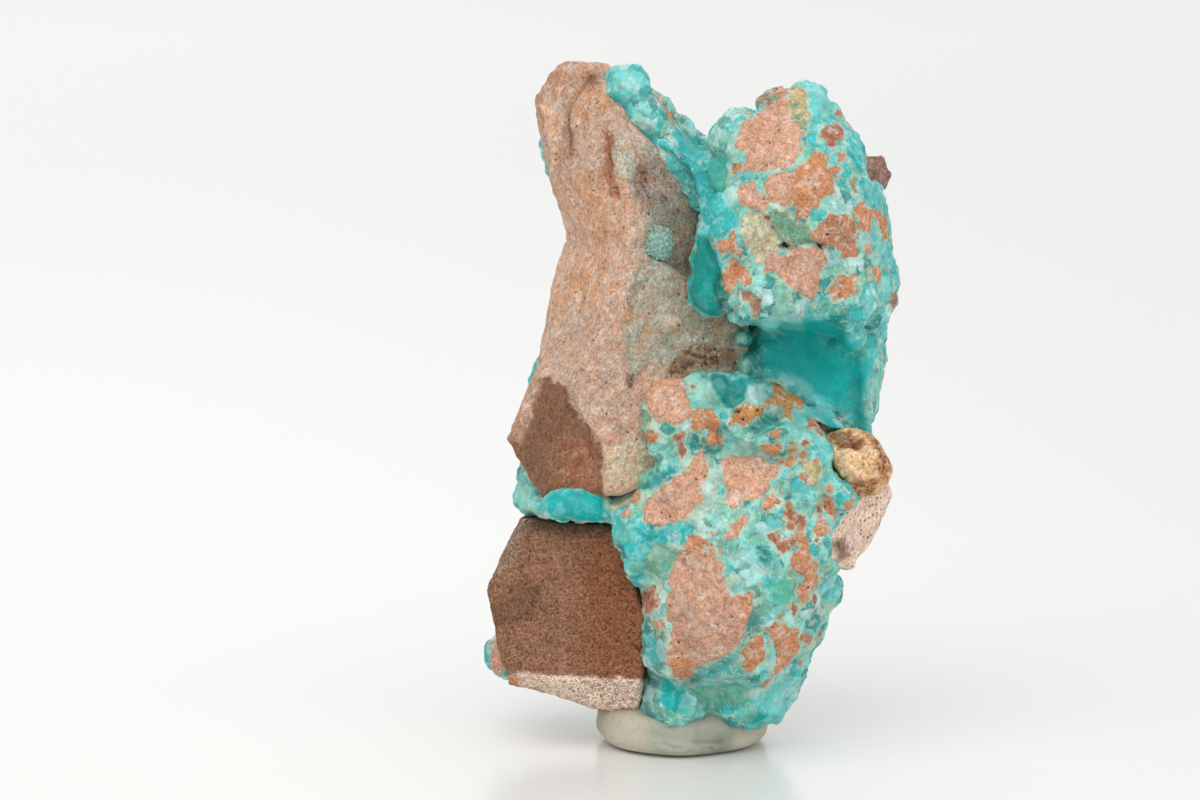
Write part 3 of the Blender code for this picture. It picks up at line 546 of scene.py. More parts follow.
UPPER_CHUNKS = (
    (
        (-14.7, 3.5, 82.2), (-17.1, 4.5, 80.6), (-18.8, 5.5, 77), (-18, 6.5, 72.3),
        (-12.1, -0.5, 81.5), (-10.2, 4.5, 81.7), (-9.5, -5.5, 75.6), (-7.8, -8.5, 67.7),
        (-7.5, -9.5, 59.4), (-15, 4.5, 63.8), (-14.5, 3.5, 58.1), (-8.8, 1.5, 79),
        (-5.8, 0.5, 75.4), (-1.6, -0.1, 71.6), (1.2, -0.5, 68.6), (2, -1.5, 61.2),
        (1.2, -2.5, 54.2), (-14.3, 9.5, 81), (-17.6, 10.5, 75.6), (-13.6, 10.5, 63.1),
        (1, 10.5, 69), (1.2, 10.5, 52.6), (-9.4, 9.5, 80.6),
    ),
    (
        (-7.7, -9.5, 60.8), (-8.4, -11, 51.6), (-8.8, -11.5, 44.7), (-10.9, -11, 38.2),
        (-10.2, -10.5, 31.9), (-15, 4.5, 60.7), (-16.2, 3.5, 56.9), (-17.4, 2.5, 50.6),
        (-18.3, 2.5, 47.4), (-17.4, -2.5, 45.6), (-14.2, -8.5, 45.2), (6.3, -2.5, 54.2),
        (6.9, -2.5, 44.7), (-0.3, -7.5, 33.5), (-15.1, 10, 60), (-17.3, 10, 49.6),
        (-17.8, 10, 44), (-15.8, 9.5, 29.5), (6.9, 10, 52.7), (7, 10, 31),
    ),
    (
        (-17.4, -3.5, 45.7), (-14.3, -7.5, 45), (-10.8, -9.7, 37.7), (-10.3, -9.5, 31.8),
        (-13.8, -8.5, 31.2), (-17.3, -6.5, 30.5), (-20.3, -3, 34.2), (-21.8, -0.5, 37.5),
        (-20.1, 0, 41.7), (-18.5, 9, 45.5), (-21.4, 8, 36.5), (-20, 9, 32.3),
        (-17.4, 9.5, 29.5), (-10.2, 9.5, 29.5), (-10.9, 9.5, 40.4),
    ),
)
LOWER_CHUNKS = (
    (
        (-20.5, -4, 28.4), (-15.6, -5.5, 28.3), (-9.4, -7, 28.2), (-5.5, -8.5, 16.9),
        (-5.8, -8.5, 9.2), (-21.9, -4.5, 9.9), (-23.8, -3, 16.9), (-24.4, -2, 19.2),
        (-22.2, -3, 24.9), (-22, -0.5, 7.1), (-15.7, 0.5, 5.4), (-10.3, -1.5, 4.2),
        (-6.1, -4.5, 4), (-23, 7.5, 15.8), (-20.2, 8.5, 26.4), (-4.7, 9, 26.4),
        (-2.2, 8.5, 5), (-20.4, 7.5, 5.8),
    ),
)
SIDE_CHUNKS = (
    (
        (16.6, -9, 32), (23.7, -0.5, 32.4), (24.2, 1.5, 30), (21.3, 0.5, 24),
        (19, -2.5, 21.8), (16.2, -7.5, 23.6), (15.6, -10.5, 28), (23.6, 9.5, 30.5),
        (20.9, 8, 22), (14.6, 5.5, 29), (14.6, 5.5, 22),
    ),
)
CHIP_CHUNKS = (
    (
        (20.3, -0.5, 71.2), (22.3, 0, 71), (23.5, 1.5, 68.9), (23.3, 2.5, 66.8),
        (20.3, -1.5, 68.3), (19.5, 5.5, 69.6), (22.9, 6.5, 70.1), (23.1, 6.5, 66.9),
        (19.5, 2.5, 66.5),
    ),
)

UPPER_LUMPS = (
    ((12.2, -1.5, 63.4), (10, 12.6, 13.4), 0),
    ((13.7, 0.5, 75.8), (1.9, 4.6, 4), 6),
    ((15.3, 0.2, 73.9), (3.2, 5.2, 4.3), -25),
    ((10.9, -0.5, 75.4), (3.4, 6, 3.1), 0),
    ((5.4, -2.5, 72), (3.6, 6.3, 4.5), 15),
    ((17, -0.5, 70.4), (3.4, 7, 4.6), -20),
    ((20.6, 0.5, 62), (3.2, 8, 7.2), 0),
    ((21.6, 1.5, 54.8), (2.7, 8, 6), 5),
    ((3.7, -7, 62.6), (3.5, 5.8, 7.2), 0),
    ((9.8, -8.7, 56.2), (6.4, 6.4, 5), 0),
    ((16.8, -5.3, 55.6), (5.2, 7.3, 5.4), 28),
    ((2.9, -5.2, 57), (3.4, 4.2, 4), 0),
    ((-7.9, 1.3, 79), (2.9, 3.9, 2.7), 25),
    ((-5.2, 0.7, 75.5), (2.9, 4.1, 2.6), 35),
    ((-2.8, 0.1, 71.6), (2.9, 4.1, 2.6), 40),
    ((0.2, -0.7, 68.9), (3, 4.4, 2.9), 35),
    ((2.2, -1.7, 67.4), (2.4, 4.6, 3.8), 10),
    ((14.8, 4.5, 46.5), (8.2, 8, 12), 0),
    ((9.2, 1.6, 46), (4, 5, 8), 0),
    ((20.6, 3.5, 45.6), (2.5, 7.5, 8.2), 0),
    ((16.4, 5.5, 34), (6, 7, 8), 0),
)
LOWER_LUMPS = (
    ((5, -3.5, 23.5), (11.6, 13.3, 16.2), 0),
    ((-1.6, -6.7, 40.2), (6.4, 6, 6.2), -20),
    ((8, -7.1, 40.6), (6.8, 7, 4.6), 8),
    ((-0.5, -7.6, 33.5), (6.5, 5.6, 6), 0),
    ((10.5, -6.5, 33), (6, 7, 6), 0),
    ((13.4, -4.5, 37.4), (4.6, 7.6, 4.4), 28),
    ((15.2, -6.4, 35.2), (2.4, 5, 4.4), 20),
    ((16.9, -6.8, 32.4), (2.6, 4.8, 3.4), 0),
    ((-5.6, -7.9, 27.2), (3.6, 5, 6.2), 20),
    ((-2, -7, 16.8), (3.9, 6.2, 7.4), 8),
    ((-2, -3, 6.4), (5.2, 6.8, 4.2), 0),
    ((7, -2, 6.6), (5.8, 7.2, 4.2), 0),
    ((12.4, -3.5, 26), (4.4, 9.5, 7), 0),
    ((14.5, -4.5, 26.5), (4, 8, 6), 0),
    ((12.5, -2, 16.5), (3.8, 6.5, 4.6), 0),
    ((16.4, -2.5, 19.4), (2, 4, 1.9), 0),
    ((10.6, -2, 10.6), (3.2, 7, 4.9), 22),
    ((-14, -5.6, 29.9), (4.4, 4.6, 1.9), 3),
    ((-13.4, 2.5, 29.2), (7.6, 9, 1.5), 0),
    ((-18.3, 3.6, 31.4), (2.3, 5, 4.4), -14),
    ((-8.4, -4.5, 29.9), (4, 5.4, 1.7), -4),
)
BACK_LUMPS = (
    ((-14.6, 10.8, 73.2), (3.2, 3.2, 6), 5),
    ((-14.4, 9, 68), (1.9, 3, 6.4), -21),
    ((-9.4, 11.1, 66), (5.9, 3.6, 8.4), 0),
    ((-3, 11.5, 67.2), (7, 3.8, 8.6), 0),
    ((-9.4, 11.7, 53.5), (6.6, 4, 9.6), 0),
    ((0, 11.9, 52), (9, 4.4, 10.5), 0),
    ((-12.4, 10.9, 42), (6.4, 4, 8), 0),
    ((-17, 9.5, 45), (2, 3, 4.4), 17),
    ((0, 11.5, 38), (9.5, 4.6, 10.5), 0),
    ((-14.4, 10.1, 30), (6.2, 4, 7), 0),
    ((-2, 11.1, 23), (9, 4.6, 11), 0),
    ((-14.6, 9.1, 17), (8.4, 4.2, 7.4), 0),
    ((9, 9.5, 60), (8.6, 5.5, 12), 0),
    ((9.6, 9, 28), (8, 6, 11.4), 0),
    ((-22.6, 6.5, 9.5), (2.5, 3.4, 2.6), 0),
)
# Bubbles are lumps too, but smooth ones with a sharp crease round each.
UPPER_BUBBLES = (
    ((2, -6.8, 55.9), (2.8, 4.7, 3.5), 0),
    ((1.6, -6.2, 59.3), (1.9, 4, 2.3), 0),
    ((2.6, -5.1, 69.6), (1.8, 2.3, 1.8), 0),
    ((1.4, -4.7, 67.3), (1.6, 2.4, 1.5), 0),
    ((5.2, -10.2, 53.6), (1.4, 2.1, 1.3), 0),
    ((8.7, -11.2, 52.6), (1.5, 2.2, 1.3), 0),
    ((11.9, -11.8, 53.6), (1.8, 2.3, 1.5), 0),
    ((18.6, -6.6, 50.4), (1.8, 2.6, 1.8), 0),
    ((5.6, -11, 62.5), (2.2, 2.6, 2.6), 0),
    ((5.9, -3, 49.8), (1.1, 1.8, 1.2), 0),
    ((6.5, -3.4, 46.4), (1.3, 1.9, 1.6), 0),
)
LOWER_BUBBLES = (
    ((2.9, -9.6, 44.5), (1.8, 2.6, 2), 0),
    ((5.2, -8.8, 44.5), (2.4, 2.8, 2), 0),
    ((-13.4, -8.3, 30.3), (4.1, 2.7, 2.5), 2),
)
VUG = ((14.6, -13, 45.6), (10.6, 10.6, 5.9), 27)


def placed(name: str, data: bpy.types.ID) -> bpy.types.Object:
    """Puts a new object into the scene.

    Args:
        name: Its name.
        data: Its mesh, light or camera.

    Returns:
        The object.
    """
    made = bpy.data.objects.new(name, data)
    bpy.context.scene.collection.objects.link(made)
    return made


def coat(tint: Tint, points: Array) -> Array:
    """The tint, once for each point."""
    return np.repeat(tint.linear[None], len(points), 0)


@dataclass(frozen=True)
class Sight:
    """The viewer's place: looking along +Y and a little down, at a point of the specimen."""

    target: Point = (-10.9, 1.5, 41.7)
    distance: float = 400.0
    elevation: float = 8.0
    lens: float = 100.0

    @property
    def eye(self) -> Array:
        """Where the viewer's eye is, in mm."""
        angle = np.radians(self.elevation)
        return np.array(self.target) + self.distance * np.array([0, -np.cos(angle), np.sin(angle)])

    def on_plane(self, points: Array) -> Array:
        """Where points appear on the plane through the target that faces the viewer.

        Formula: each point's offset from the eye is turned by the elevation, and its right and up
        parts are scaled by the target's distance over its own.

        Args:
            points: Places in mm, one row each.

        Returns:
            Right and up in mm, one row each.
        """
        angle = np.radians(self.elevation)
        gone = points - self.eye
        ahead = gone[:, 1] * np.cos(angle) - gone[:, 2] * np.sin(angle)
        up = gone[:, 1] * np.sin(angle) + gone[:, 2] * np.cos(angle)
        return np.stack([gone[:, 0], up], 1) * (self.distance / ahead)[:, None]

    def facing(self, points: Array, normals: Array) -> Array:
        """How much each spot faces the viewer: 1 is straight on, and below 0 is turned away."""
        way = self.eye - points
        return (way * normals).sum(1) / np.linalg.norm(way, axis=1)

    def make_camera(self) -> None:
        """Sets up the scene's camera at the eye."""
        lens = bpy.data.cameras.new("viewer")
        lens.lens = self.lens
        lens.sensor_width = 36.0
        lens.clip_start, lens.clip_end = 0.01, 100.0
        camera = placed("viewer", lens)
        camera.location = Vector(self.eye) * MM
        camera.rotation_euler = (np.radians(90 - self.elevation), 0, 0)
        bpy.context.scene.camera = camera


SIGHT = Sight()


def fade(values: Array, low: float, high: float) -> Array:
    """0 below low and 1 above high, with a smooth step between them."""
    part = np.clip((values - low) / (high - low), 0, 1)
    return part * part * (3 - 2 * part)


def steady_random(cells: Array, seed: int) -> Array:
    """A random number from 0 to 1 for each cell of a lattice, always the same for the same cell.

    Formula: the cell's three whole numbers are multiplied by large odd numbers and mixed with the
    seed, and the bits of the result are stirred by shifts and products.

    Args:
        cells: Whole numbers, three in each row.
        seed: Which set of random numbers to take.

    Returns:
        One number for each row.
    """
    whole = cells.astype(np.int32).view(np.uint32)
    mixed = whole[..., 0] * np.uint32(0x8DA6B343)
    mixed ^= whole[..., 1] * np.uint32(0xD8163841)
    mixed ^= whole[..., 2] * np.uint32(0xCB1AB31F)
    mixed ^= np.uint32((seed * 0x9E3779B1 + 0x7F4A7C15) & 0xFFFFFFFF)
    mixed = (mixed ^ (mixed >> np.uint32(15))) * np.uint32(0x2C1B3C6D)
    mixed = (mixed ^ (mixed >> np.uint32(12))) * np.uint32(0x297A2D39)
    mixed ^= mixed >> np.uint32(15)
    return mixed.astype(np.float32) * np.float32(2.0**-32)


def ripple(points: Array, size: float, seed: int) -> Array:
    """Smooth random heights of about -1 to 1.

    Formula: random numbers at the corners of a tilted lattice, with a smooth step between them.

    Args:
        points: Places in mm.
        size: The width of the lattice's cells in mm.
        seed: Which set of random numbers to take.

    Returns:
        One height for each point.
    """
    tilt = np.array([[0.80, 0.36, -0.48], [-0.60, 0.48, -0.64], [0.0, 0.80, 0.60]], np.float32)
    place = points.astype(np.float32) @ tilt / np.float32(size)
    cell = np.floor(place)
    part = place - cell
    part = part * part * (3 - 2 * part)
    total = np.zeros(len(points), np.float32)
    for corner in itertools.product((0, 1), repeat=3):
        weight = np.prod(np.where(np.array(corner, bool), part, 1 - part), axis=1)
        total += weight * steady_random(cell + np.array(corner, np.float32), seed)
    return total * 2 - 1


def ripples(points: Array, sizes: Sequence[float], heights: Sequence[float], seed: int) -> Array:
    """A sum of ripples, one for each size, each with its height."""
    layers = (h * ripple(points, s, seed + i) for i, (s, h) in enumerate(zip(sizes, heights)))
    return sum(layers)


def scattered(points: Array, size: float, seed: int) -> tuple[Array, Array, Array]:
    """How far the nearest of many scattered grains is.

    Formula: each cell of a lattice holds one grain at a random place, and the 27 cells round a
    point are searched for the two nearest.

    Args:
        points: Places in mm.
        size: The mean distance between grains in mm.
        seed: Which set of grains to take.

    Returns:
        The distance to the nearest grain and to the next, in mm, and the nearest one's own number
        from 0 to 1.
    """
    place = points.astype(np.float32) / np.float32(size)
    cell = np.floor(place)
    first = np.full(len(points), 9.0, np.float32)
    second = first.copy()
    own = np.zeros(len(points), np.float32)
    for step in itertools.product((-1, 0, 1), repeat=3):
        other = cell + np.array(step, np.float32)
        grain = other + np.stack([steady_random(other, seed + axis) for axis in range(3)], 1)
        far = ((grain - place) ** 2).sum(1)
        nearer = far < first
        second = np.where(nearer, first, np.minimum(second, far))
        own = np.where(nearer, steady_random(other, seed + 3), own)
        first = np.where(nearer, far, first)
    return np.sqrt(first) * size, np.sqrt(second) * size, own


def distance_to_line(places: Array, corners: Sequence[Corner]) -> Array:
    """How far places are from an open line.

    Args:
        places: Right and up in mm, one row each.
        corners: The line's corners.

    Returns:
        The distance in mm to the nearest of its sides, for each place.
    """
    starts = np.array(corners[:-1], float)
    sides = np.array(corners[1:], float) - starts
    gone = places[:, None] - starts
    along = np.clip((gone * sides).sum(2) / (sides**2).sum(1), 0, 1)
    return np.sqrt(((gone - along[..., None] * sides) ** 2).sum(2).min(1))


def depth_inside(places: Array, corners: Sequence[Corner]) -> Array:
    """How deep places lie inside a closed outline, with a minus outside it.

    Formula: the distance to the nearest side, whose sign comes from how many sides a line to the
    right crosses.

    Args:
        places: Right and up in mm, one row each.
        corners: The outline's corners.

    Returns:
        One depth in mm for each place.
    """
    far = distance_to_line(places, (*corners, corners[0]))
    (x, y), (next_x, next_y) = np.array(corners, float).T, np.roll(corners, -1, axis=0).T
    right, up = places[:, :1], places[:, 1:]
    slope = (next_x - x) / np.where(next_y == y, 1e-9, next_y - y)
    crossed = ((y > up) != (next_y > up)) & (right < x + (up - y) * slope)
    return np.where(crossed.sum(1) % 2 == 1, far, -far)


def close_to(places: Array, corners: Sequence[Corner], margin: float) -> Array:
    """The rows of the places that lie within a margin of the outline's box."""
    inside = (places > np.min(corners, axis=0) - margin) & (places < np.max(corners, axis=0) + margin)
    return np.flatnonzero(inside.all(1))


def smooth_least(first: Array, second: Array, blend: float, dip: float = 1.0) -> Array:
    """The lesser of two depths: the two are mixed within the blend, and a smooth dip is taken off."""
    share = np.clip(0.5 + 0.5 * (first - second) / blend, 0, 1)
    return first + (second - first) * share - dip * blend * share * (1 - share)


class Grid:
    """Depths on a box of evenly spaced points: below 0 is inside the shape."""

    def __init__(self, low: Point, high: Point, step: float) -> None:
        """Starts with an empty box.

        Args:
            low: The box's lowest corner in mm.
            high: The box's highest corner in mm.
            step: The distance between points in mm.
        """
        self.low, self.step = np.array(low, float), step
        counts = np.ceil((np.array(high) - self.low) / step).astype(int) + 1
        self.values = np.full(counts, FAR_OUTSIDE, np.float32)

    def part(self, low: Array, high: Array) -> tuple[tuple[slice, ...], list[Array]]:
        """The grid's points in a smaller box.

        Args:
            low: That box's lowest corner in mm.
            high: Its highest corner.

        Returns:
            Their slices, and their places along each axis, ready to be spread over each other.
        """
        first = np.maximum(np.floor((low - self.low) / self.step).astype(int), 0)
        last = np.minimum(np.ceil((high - self.low) / self.step).astype(int) + 1, self.values.shape)
        last = np.maximum(last, first)
        slices = tuple(slice(a, b) for a, b in zip(first, last))
        axes = [self.low[i] + self.step * np.arange(first[i], last[i]) for i in range(3)]
        return slices, [a.astype(np.float32) for a in np.ix_(*axes)]

    def around(self, lump: Lump, blend: float) -> tuple[tuple[slice, ...], Array]:
        """The grid's points near a lump.

        Args:
            lump: The lump.
            blend: How far its smooth join reaches in mm.

        Returns:
            Their slices, and how deep they are in the lump, with a minus for inside.
        """
        (wide, deep, high), turn = lump[1:]
        if turn:
            wide = high = max(wide, high)
        reach = np.array((wide, deep, high)) + 2 * blend
        slices, axes = self.part(np.array(lump[0]) - reach, np.array(lump[0]) + reach)
        return slices, lump_depth(axes, lump)

    def join(self, lump: Lump, blend: float) -> None:
        """Adds a lump, which runs smoothly into what is there over the blend."""
        slices, depths = self.around(lump, blend)
        self.values[slices] = smooth_least(depths, self.values[slices], blend)

    def hollow(self, lump: Lump, blend: float) -> None:
        """Takes out a lump, with the rim rounded over the blend."""
        slices, depths = self.around(lump, blend)
        self.values[slices] = -smooth_least(depths, -self.values[slices], blend)

    def join_chunk(self, corners: Sequence[Point]) -> None:
        """Adds the convex hull of the corners.

        Formula: a point's depth is that under the hull's farthest plane.

        Args:
            corners: Places in mm.
        """
        normals, offsets = hull_planes(corners)
        places = np.array(corners)
        slices, (x, y, z) = self.part(places.min(0) - 3, places.max(0) + 3)
        new = np.full(np.broadcast_shapes(x.shape, y.shape, z.shape), DEEPEST, np.float32)
        for (nx, ny, nz), offset in zip(normals.astype(np.float32), offsets.astype(np.float32)):
            np.maximum(new, nx * x + (ny * y + (nz * z - offset)), out=new)
        self.values[slices] = np.minimum(self.values[slices], new)

    def near(self, low: float, high: float) -> tuple[tuple[Array, ...], Array]:
        """The grid points whose depth is between the two, and their places."""
        found = np.nonzero((self.values > low) & (self.values < high))
        return found, (self.low + self.step * np.stack(found, 1)).astype(np.float32)

    def skin(self) -> tuple[Array, Array]:
        """The closed surface where the depth is 0.

        Formula: each small cube that the surface passes through gets one vertex, at the mean of
        the places where its edges cross the surface, and each grid edge that crosses it gets a
        face between the four cubes round it.

        Returns:
            The vertices' places in mm, and the four-cornered faces.
        """
        inside = self.values < 0
        shifts = np.array(list(itertools.product((0, 1), repeat=3)))
        size = np.array(inside.shape) - 1
        count = np.zeros(size, np.uint8)
        for a, b, c in shifts:
            count += inside[a : a + size[0], b : b + size[1], c : c + size[2]]
        mixed = (count > 0) & (count < 8)
        cells = np.argwhere(mixed)
        number = np.full(size, -1, np.int32)
        number[mixed] = np.arange(len(cells))
        depths = np.stack([self.values[tuple((cells + s).T)] for s in shifts], 1)
        place = np.zeros((len(cells), 3))
        hits = np.zeros(len(cells))
        for a, b in itertools.combinations(range(8), 2):
            if np.abs(shifts[a] - shifts[b]).sum() != 1:
                continue
            crosses = (depths[:, a] < 0) != (depths[:, b] < 0)
            gap = np.where(crosses, depths[:, a] - depths[:, b], 1)
            along = depths[:, a] / gap
            place += crosses[:, None] * (shifts[a] + along[:, None] * (shifts[b] - shifts[a]))
            hits += crosses
        places = self.low + self.step * (cells + place / hits[:, None])
        return places, np.concatenate([self._faces(inside, number, axis) for axis in range(3)])

    @staticmethod
    def _faces(inside: Array, number: Array, axis: int) -> Array:
        """The faces across the grid edges along one axis.

        Args:
            inside: Which grid points are inside the shape.
            number: The number of each cube's vertex.
            axis: The axis.

        Returns:
            The faces, turned outwards.
        """
        along = np.eye(3, dtype=int)[axis]
        beside, above = np.eye(3, dtype=int)[(axis + 1) % 3], np.eye(3, dtype=int)[(axis + 2) % 3]
        here = tuple(slice(0, n - a) for n, a in zip(inside.shape, along))
        there = tuple(slice(a, n) for n, a in zip(inside.shape, along))
        starts = np.argwhere(inside[here] != inside[there])
        ring = [-beside - above, -above, 0 * along, -beside]
        faces = np.stack([number[tuple((starts + shift).T)] for shift in ring], 1)
        outwards = inside[tuple(starts.T)]
        return np.where(outwards[:, None], faces, faces[:, ::-1])


def lump_depth(axes: Sequence[Array], lump: Lump) -> Array:
    """About how far points are outside a stretched ball, in mm.

    Formula: with k the offset's length over the half sizes and m its length over their squares,
    the depth is k (k - 1) / m.

    Args:
        axes: The points' places along each axis, which may be spread over each other.
        lump: The ball.

    Returns:
        One depth for each point.
    """
    centre, half, turn = lump
    angle = np.radians(turn)
    x, y, z = (axis - middle for axis, middle in zip(axes, centre))
    right = x * np.float32(np.cos(angle)) - z * np.float32(np.sin(angle))
    up = x * np.float32(np.sin(angle)) + z * np.float32(np.cos(angle))
    a, b, c = (np.float32(1 / h) for h in half)
    scaled = np.sqrt((right * a) ** 2 + (y * b) ** 2 + (up * c) ** 2)
    twice = np.sqrt((right * a * a) ** 2 + (y * b * b) ** 2 + (up * c * c) ** 2)
    return scaled * (scaled - 1) / np.maximum(twice, 1e-4)


def hull_planes(corners: Sequence[Point]) -> tuple[Array, Array]:
    """The flat faces of the corners' convex hull.

    Formula: every three corners span a plane, and the planes with no corner in front are kept.

    Args:
        corners: Places in mm.

    Returns:
        The planes' outward directions, and their distances from the origin.
    """
    places = np.array(corners, float)
    trios = np.array(list(itertools.combinations(range(len(places)), 3)))
    a, b, c = (places[trios[:, i]] for i in range(3))
    normals = np.cross(b - a, c - a)
    length = np.linalg.norm(normals, axis=1)
    a, normals = a[length > 1e-6], normals[length > 1e-6] / length[length > 1e-6, None]
    offsets = (normals * a).sum(1)
    ahead = places @ normals.T - offsets
    front, back = ahead.max(0) < 1e-6, ahead.min(0) > -1e-6
    normals = np.concatenate([normals[front], -normals[back]])
    offsets = np.concatenate([offsets[front], -offsets[back]])
    _, kept = np.unique(np.round(np.column_stack([normals, offsets]), 4), axis=0, return_index=True)
    return normals[kept], offsets[kept]


def capped_faces(rings: int, sides: int, rising: bool) -> Array:
    """The faces of a tube of rings that closes on a vertex at each end.

    Formula: each gap between two rings is halved, and each end is a fan. The vertices are those of
    the rings in turn, then the one before the first ring and the one after the last.

    Args:
        rings: How many rings there are.
        sides: How many vertices each has, anticlockwise seen from above.
        rising: Whether the rings go up.

    Returns:
        The three-cornered faces, turned outwards.
    """
    number = np.arange(rings * sides).reshape(rings, sides)
    beside = np.roll(number, -1, axis=1)
    gaps = np.stack([number[:-1], number[1:], beside[1:], beside[:-1]], -1).reshape(-1, 4)
    before, after = (np.full(sides, rings * sides + end) for end in range(2))
    fans = [np.stack([before, number[0], beside[0]], -1), np.stack([after, beside[-1], number[-1]], -1)]
    faces = np.concatenate([gaps[:, [0, 1, 2]], gaps[:, [0, 2, 3]], *fans])
    return faces[:, ::-1] if rising else faces


@dataclass
class Skin:
    """A closed surface on its way to a mesh: places in mm, faces, and marks on its vertices."""

    places: Array
    faces: Array
    marks: dict[str, Array] = field(default_factory=dict)

    def normals(self) -> Array:
        """The mean of the outward directions of each vertex's faces, weighted by their size.

        Returns:
            One direction of length 1 for each vertex.
        """
        corners = self.places[self.faces]
        if self.faces.shape[1] == 4:
            flat = np.cross(corners[:, 2] - corners[:, 0], corners[:, 3] - corners[:, 1])
        else:
            flat = np.cross(corners[:, 1] - corners[:, 0], corners[:, 2] - corners[:, 0])
        total = np.zeros_like(self.places)
        for axis, ring in itertools.product(range(3), range(self.faces.shape[1])):
            total[:, axis] += np.bincount(self.faces[:, ring], flat[:, axis], len(self.places))
        return total / np.maximum(np.linalg.norm(total, axis=1, keepdims=True), 1e-9)

    def seen(self, edge: float = 0.2) -> Array:
        """1 where the surface faces the viewer by more than the edge, 0 where it is turned away."""
        return fade(SIGHT.facing(self.places, self.normals()), 0.0, edge)

    def push(self, heights: Array) -> None:
        """Moves each vertex outwards by its height in mm, but never past the solids' own box."""
        low, high = (np.array(corner) / MM for corner in SOLIDS_BOX)
        self.places = np.clip(self.places + heights[:, None] * self.normals(), low, high)

    def relax(self) -> None:
        """Moves each vertex half of the way to the mean of its neighbours."""
        ends = np.concatenate([self.faces[:, [i, i - 1]] for i in range(self.faces.shape[1])])
        ends = np.concatenate([ends, ends[:, ::-1]])
        count = np.bincount(ends[:, 0], minlength=len(self.places))
        total = [np.bincount(ends[:, 0], self.places[ends[:, 1], axis], len(count)) for axis in range(3)]
        self.places = (self.places + np.stack(total, 1) / count[:, None]) / 2

    def make(self, name: str, material: bpy.types.Material) -> bpy.types.Object:
        """Puts the surface into a mesh object, with its marks as attributes.

        Args:
            name: What the piece is called.
            material: Its finish.

        Returns:
            The object.
        """
        mesh = bpy.data.meshes.new(name)
        sides = self.faces.shape[1]
        mesh.vertices.add(len(self.places))
        mesh.vertices.foreach_set("co", (self.places * MM).astype(np.float32).ravel())
        mesh.loops.add(self.faces.size)
        mesh.loops.foreach_set("vertex_index", self.faces.astype(np.int32).ravel())
        mesh.polygons.add(len(self.faces))
        mesh.polygons.foreach_set("loop_start", np.arange(0, self.faces.size, sides, dtype=np.int32))
        mesh.polygons.foreach_set("use_smooth", np.ones(len(self.faces), bool))
        mesh.update(calc_edges=True)
        for mark, values in self.marks.items():
            kind, key = "FLOAT", "value"
            if values.ndim == 2:
                kind, key = "FLOAT_COLOR", "color"
                values = np.column_stack([values, np.ones(len(values))])
            layer = mesh.attributes.new(mark, kind, "POINT")
            layer.data.foreach_set(key, values.astype(np.float32).ravel())
        mesh.materials.append(material)
        return placed(name, mesh)


def put_on(piece: bpy.types.Object, node: str) -> None:
    """Hands a finished piece over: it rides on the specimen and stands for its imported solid.

    Args:
        piece: The piece.
        node: The solid's node.
    """
    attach(piece, "root")
    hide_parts(node)
    log.info("%s stands for %s, %d faces", piece.name, node, len(piece.data.polygons))


class Sum:
    """A socket of a material's tree that arithmetic can be written with."""

    def __init__(self, paint: "Paint", socket: bpy.types.NodeSocket) -> None:
        """Wraps one output socket."""
        self.paint, self.socket = paint, socket

    def __add__(self, other: "Sum | float") -> "Sum":
        """This plus the other."""
        return self.paint.sum("ADD", self, other)

    def __sub__(self, other: "Sum | float") -> "Sum":
        """This less the other."""
        return self.paint.sum("SUBTRACT", self, other)

    def __rsub__(self, other: float) -> "Sum":
        """The other less this."""
        return self.paint.sum("SUBTRACT", other, self)

    def __mul__(self, other: "Sum | float") -> "Sum":
        """This times the other."""
        return self.paint.sum("MULTIPLY", self, other)

    __radd__ = __add__
    __rmul__ = __mul__


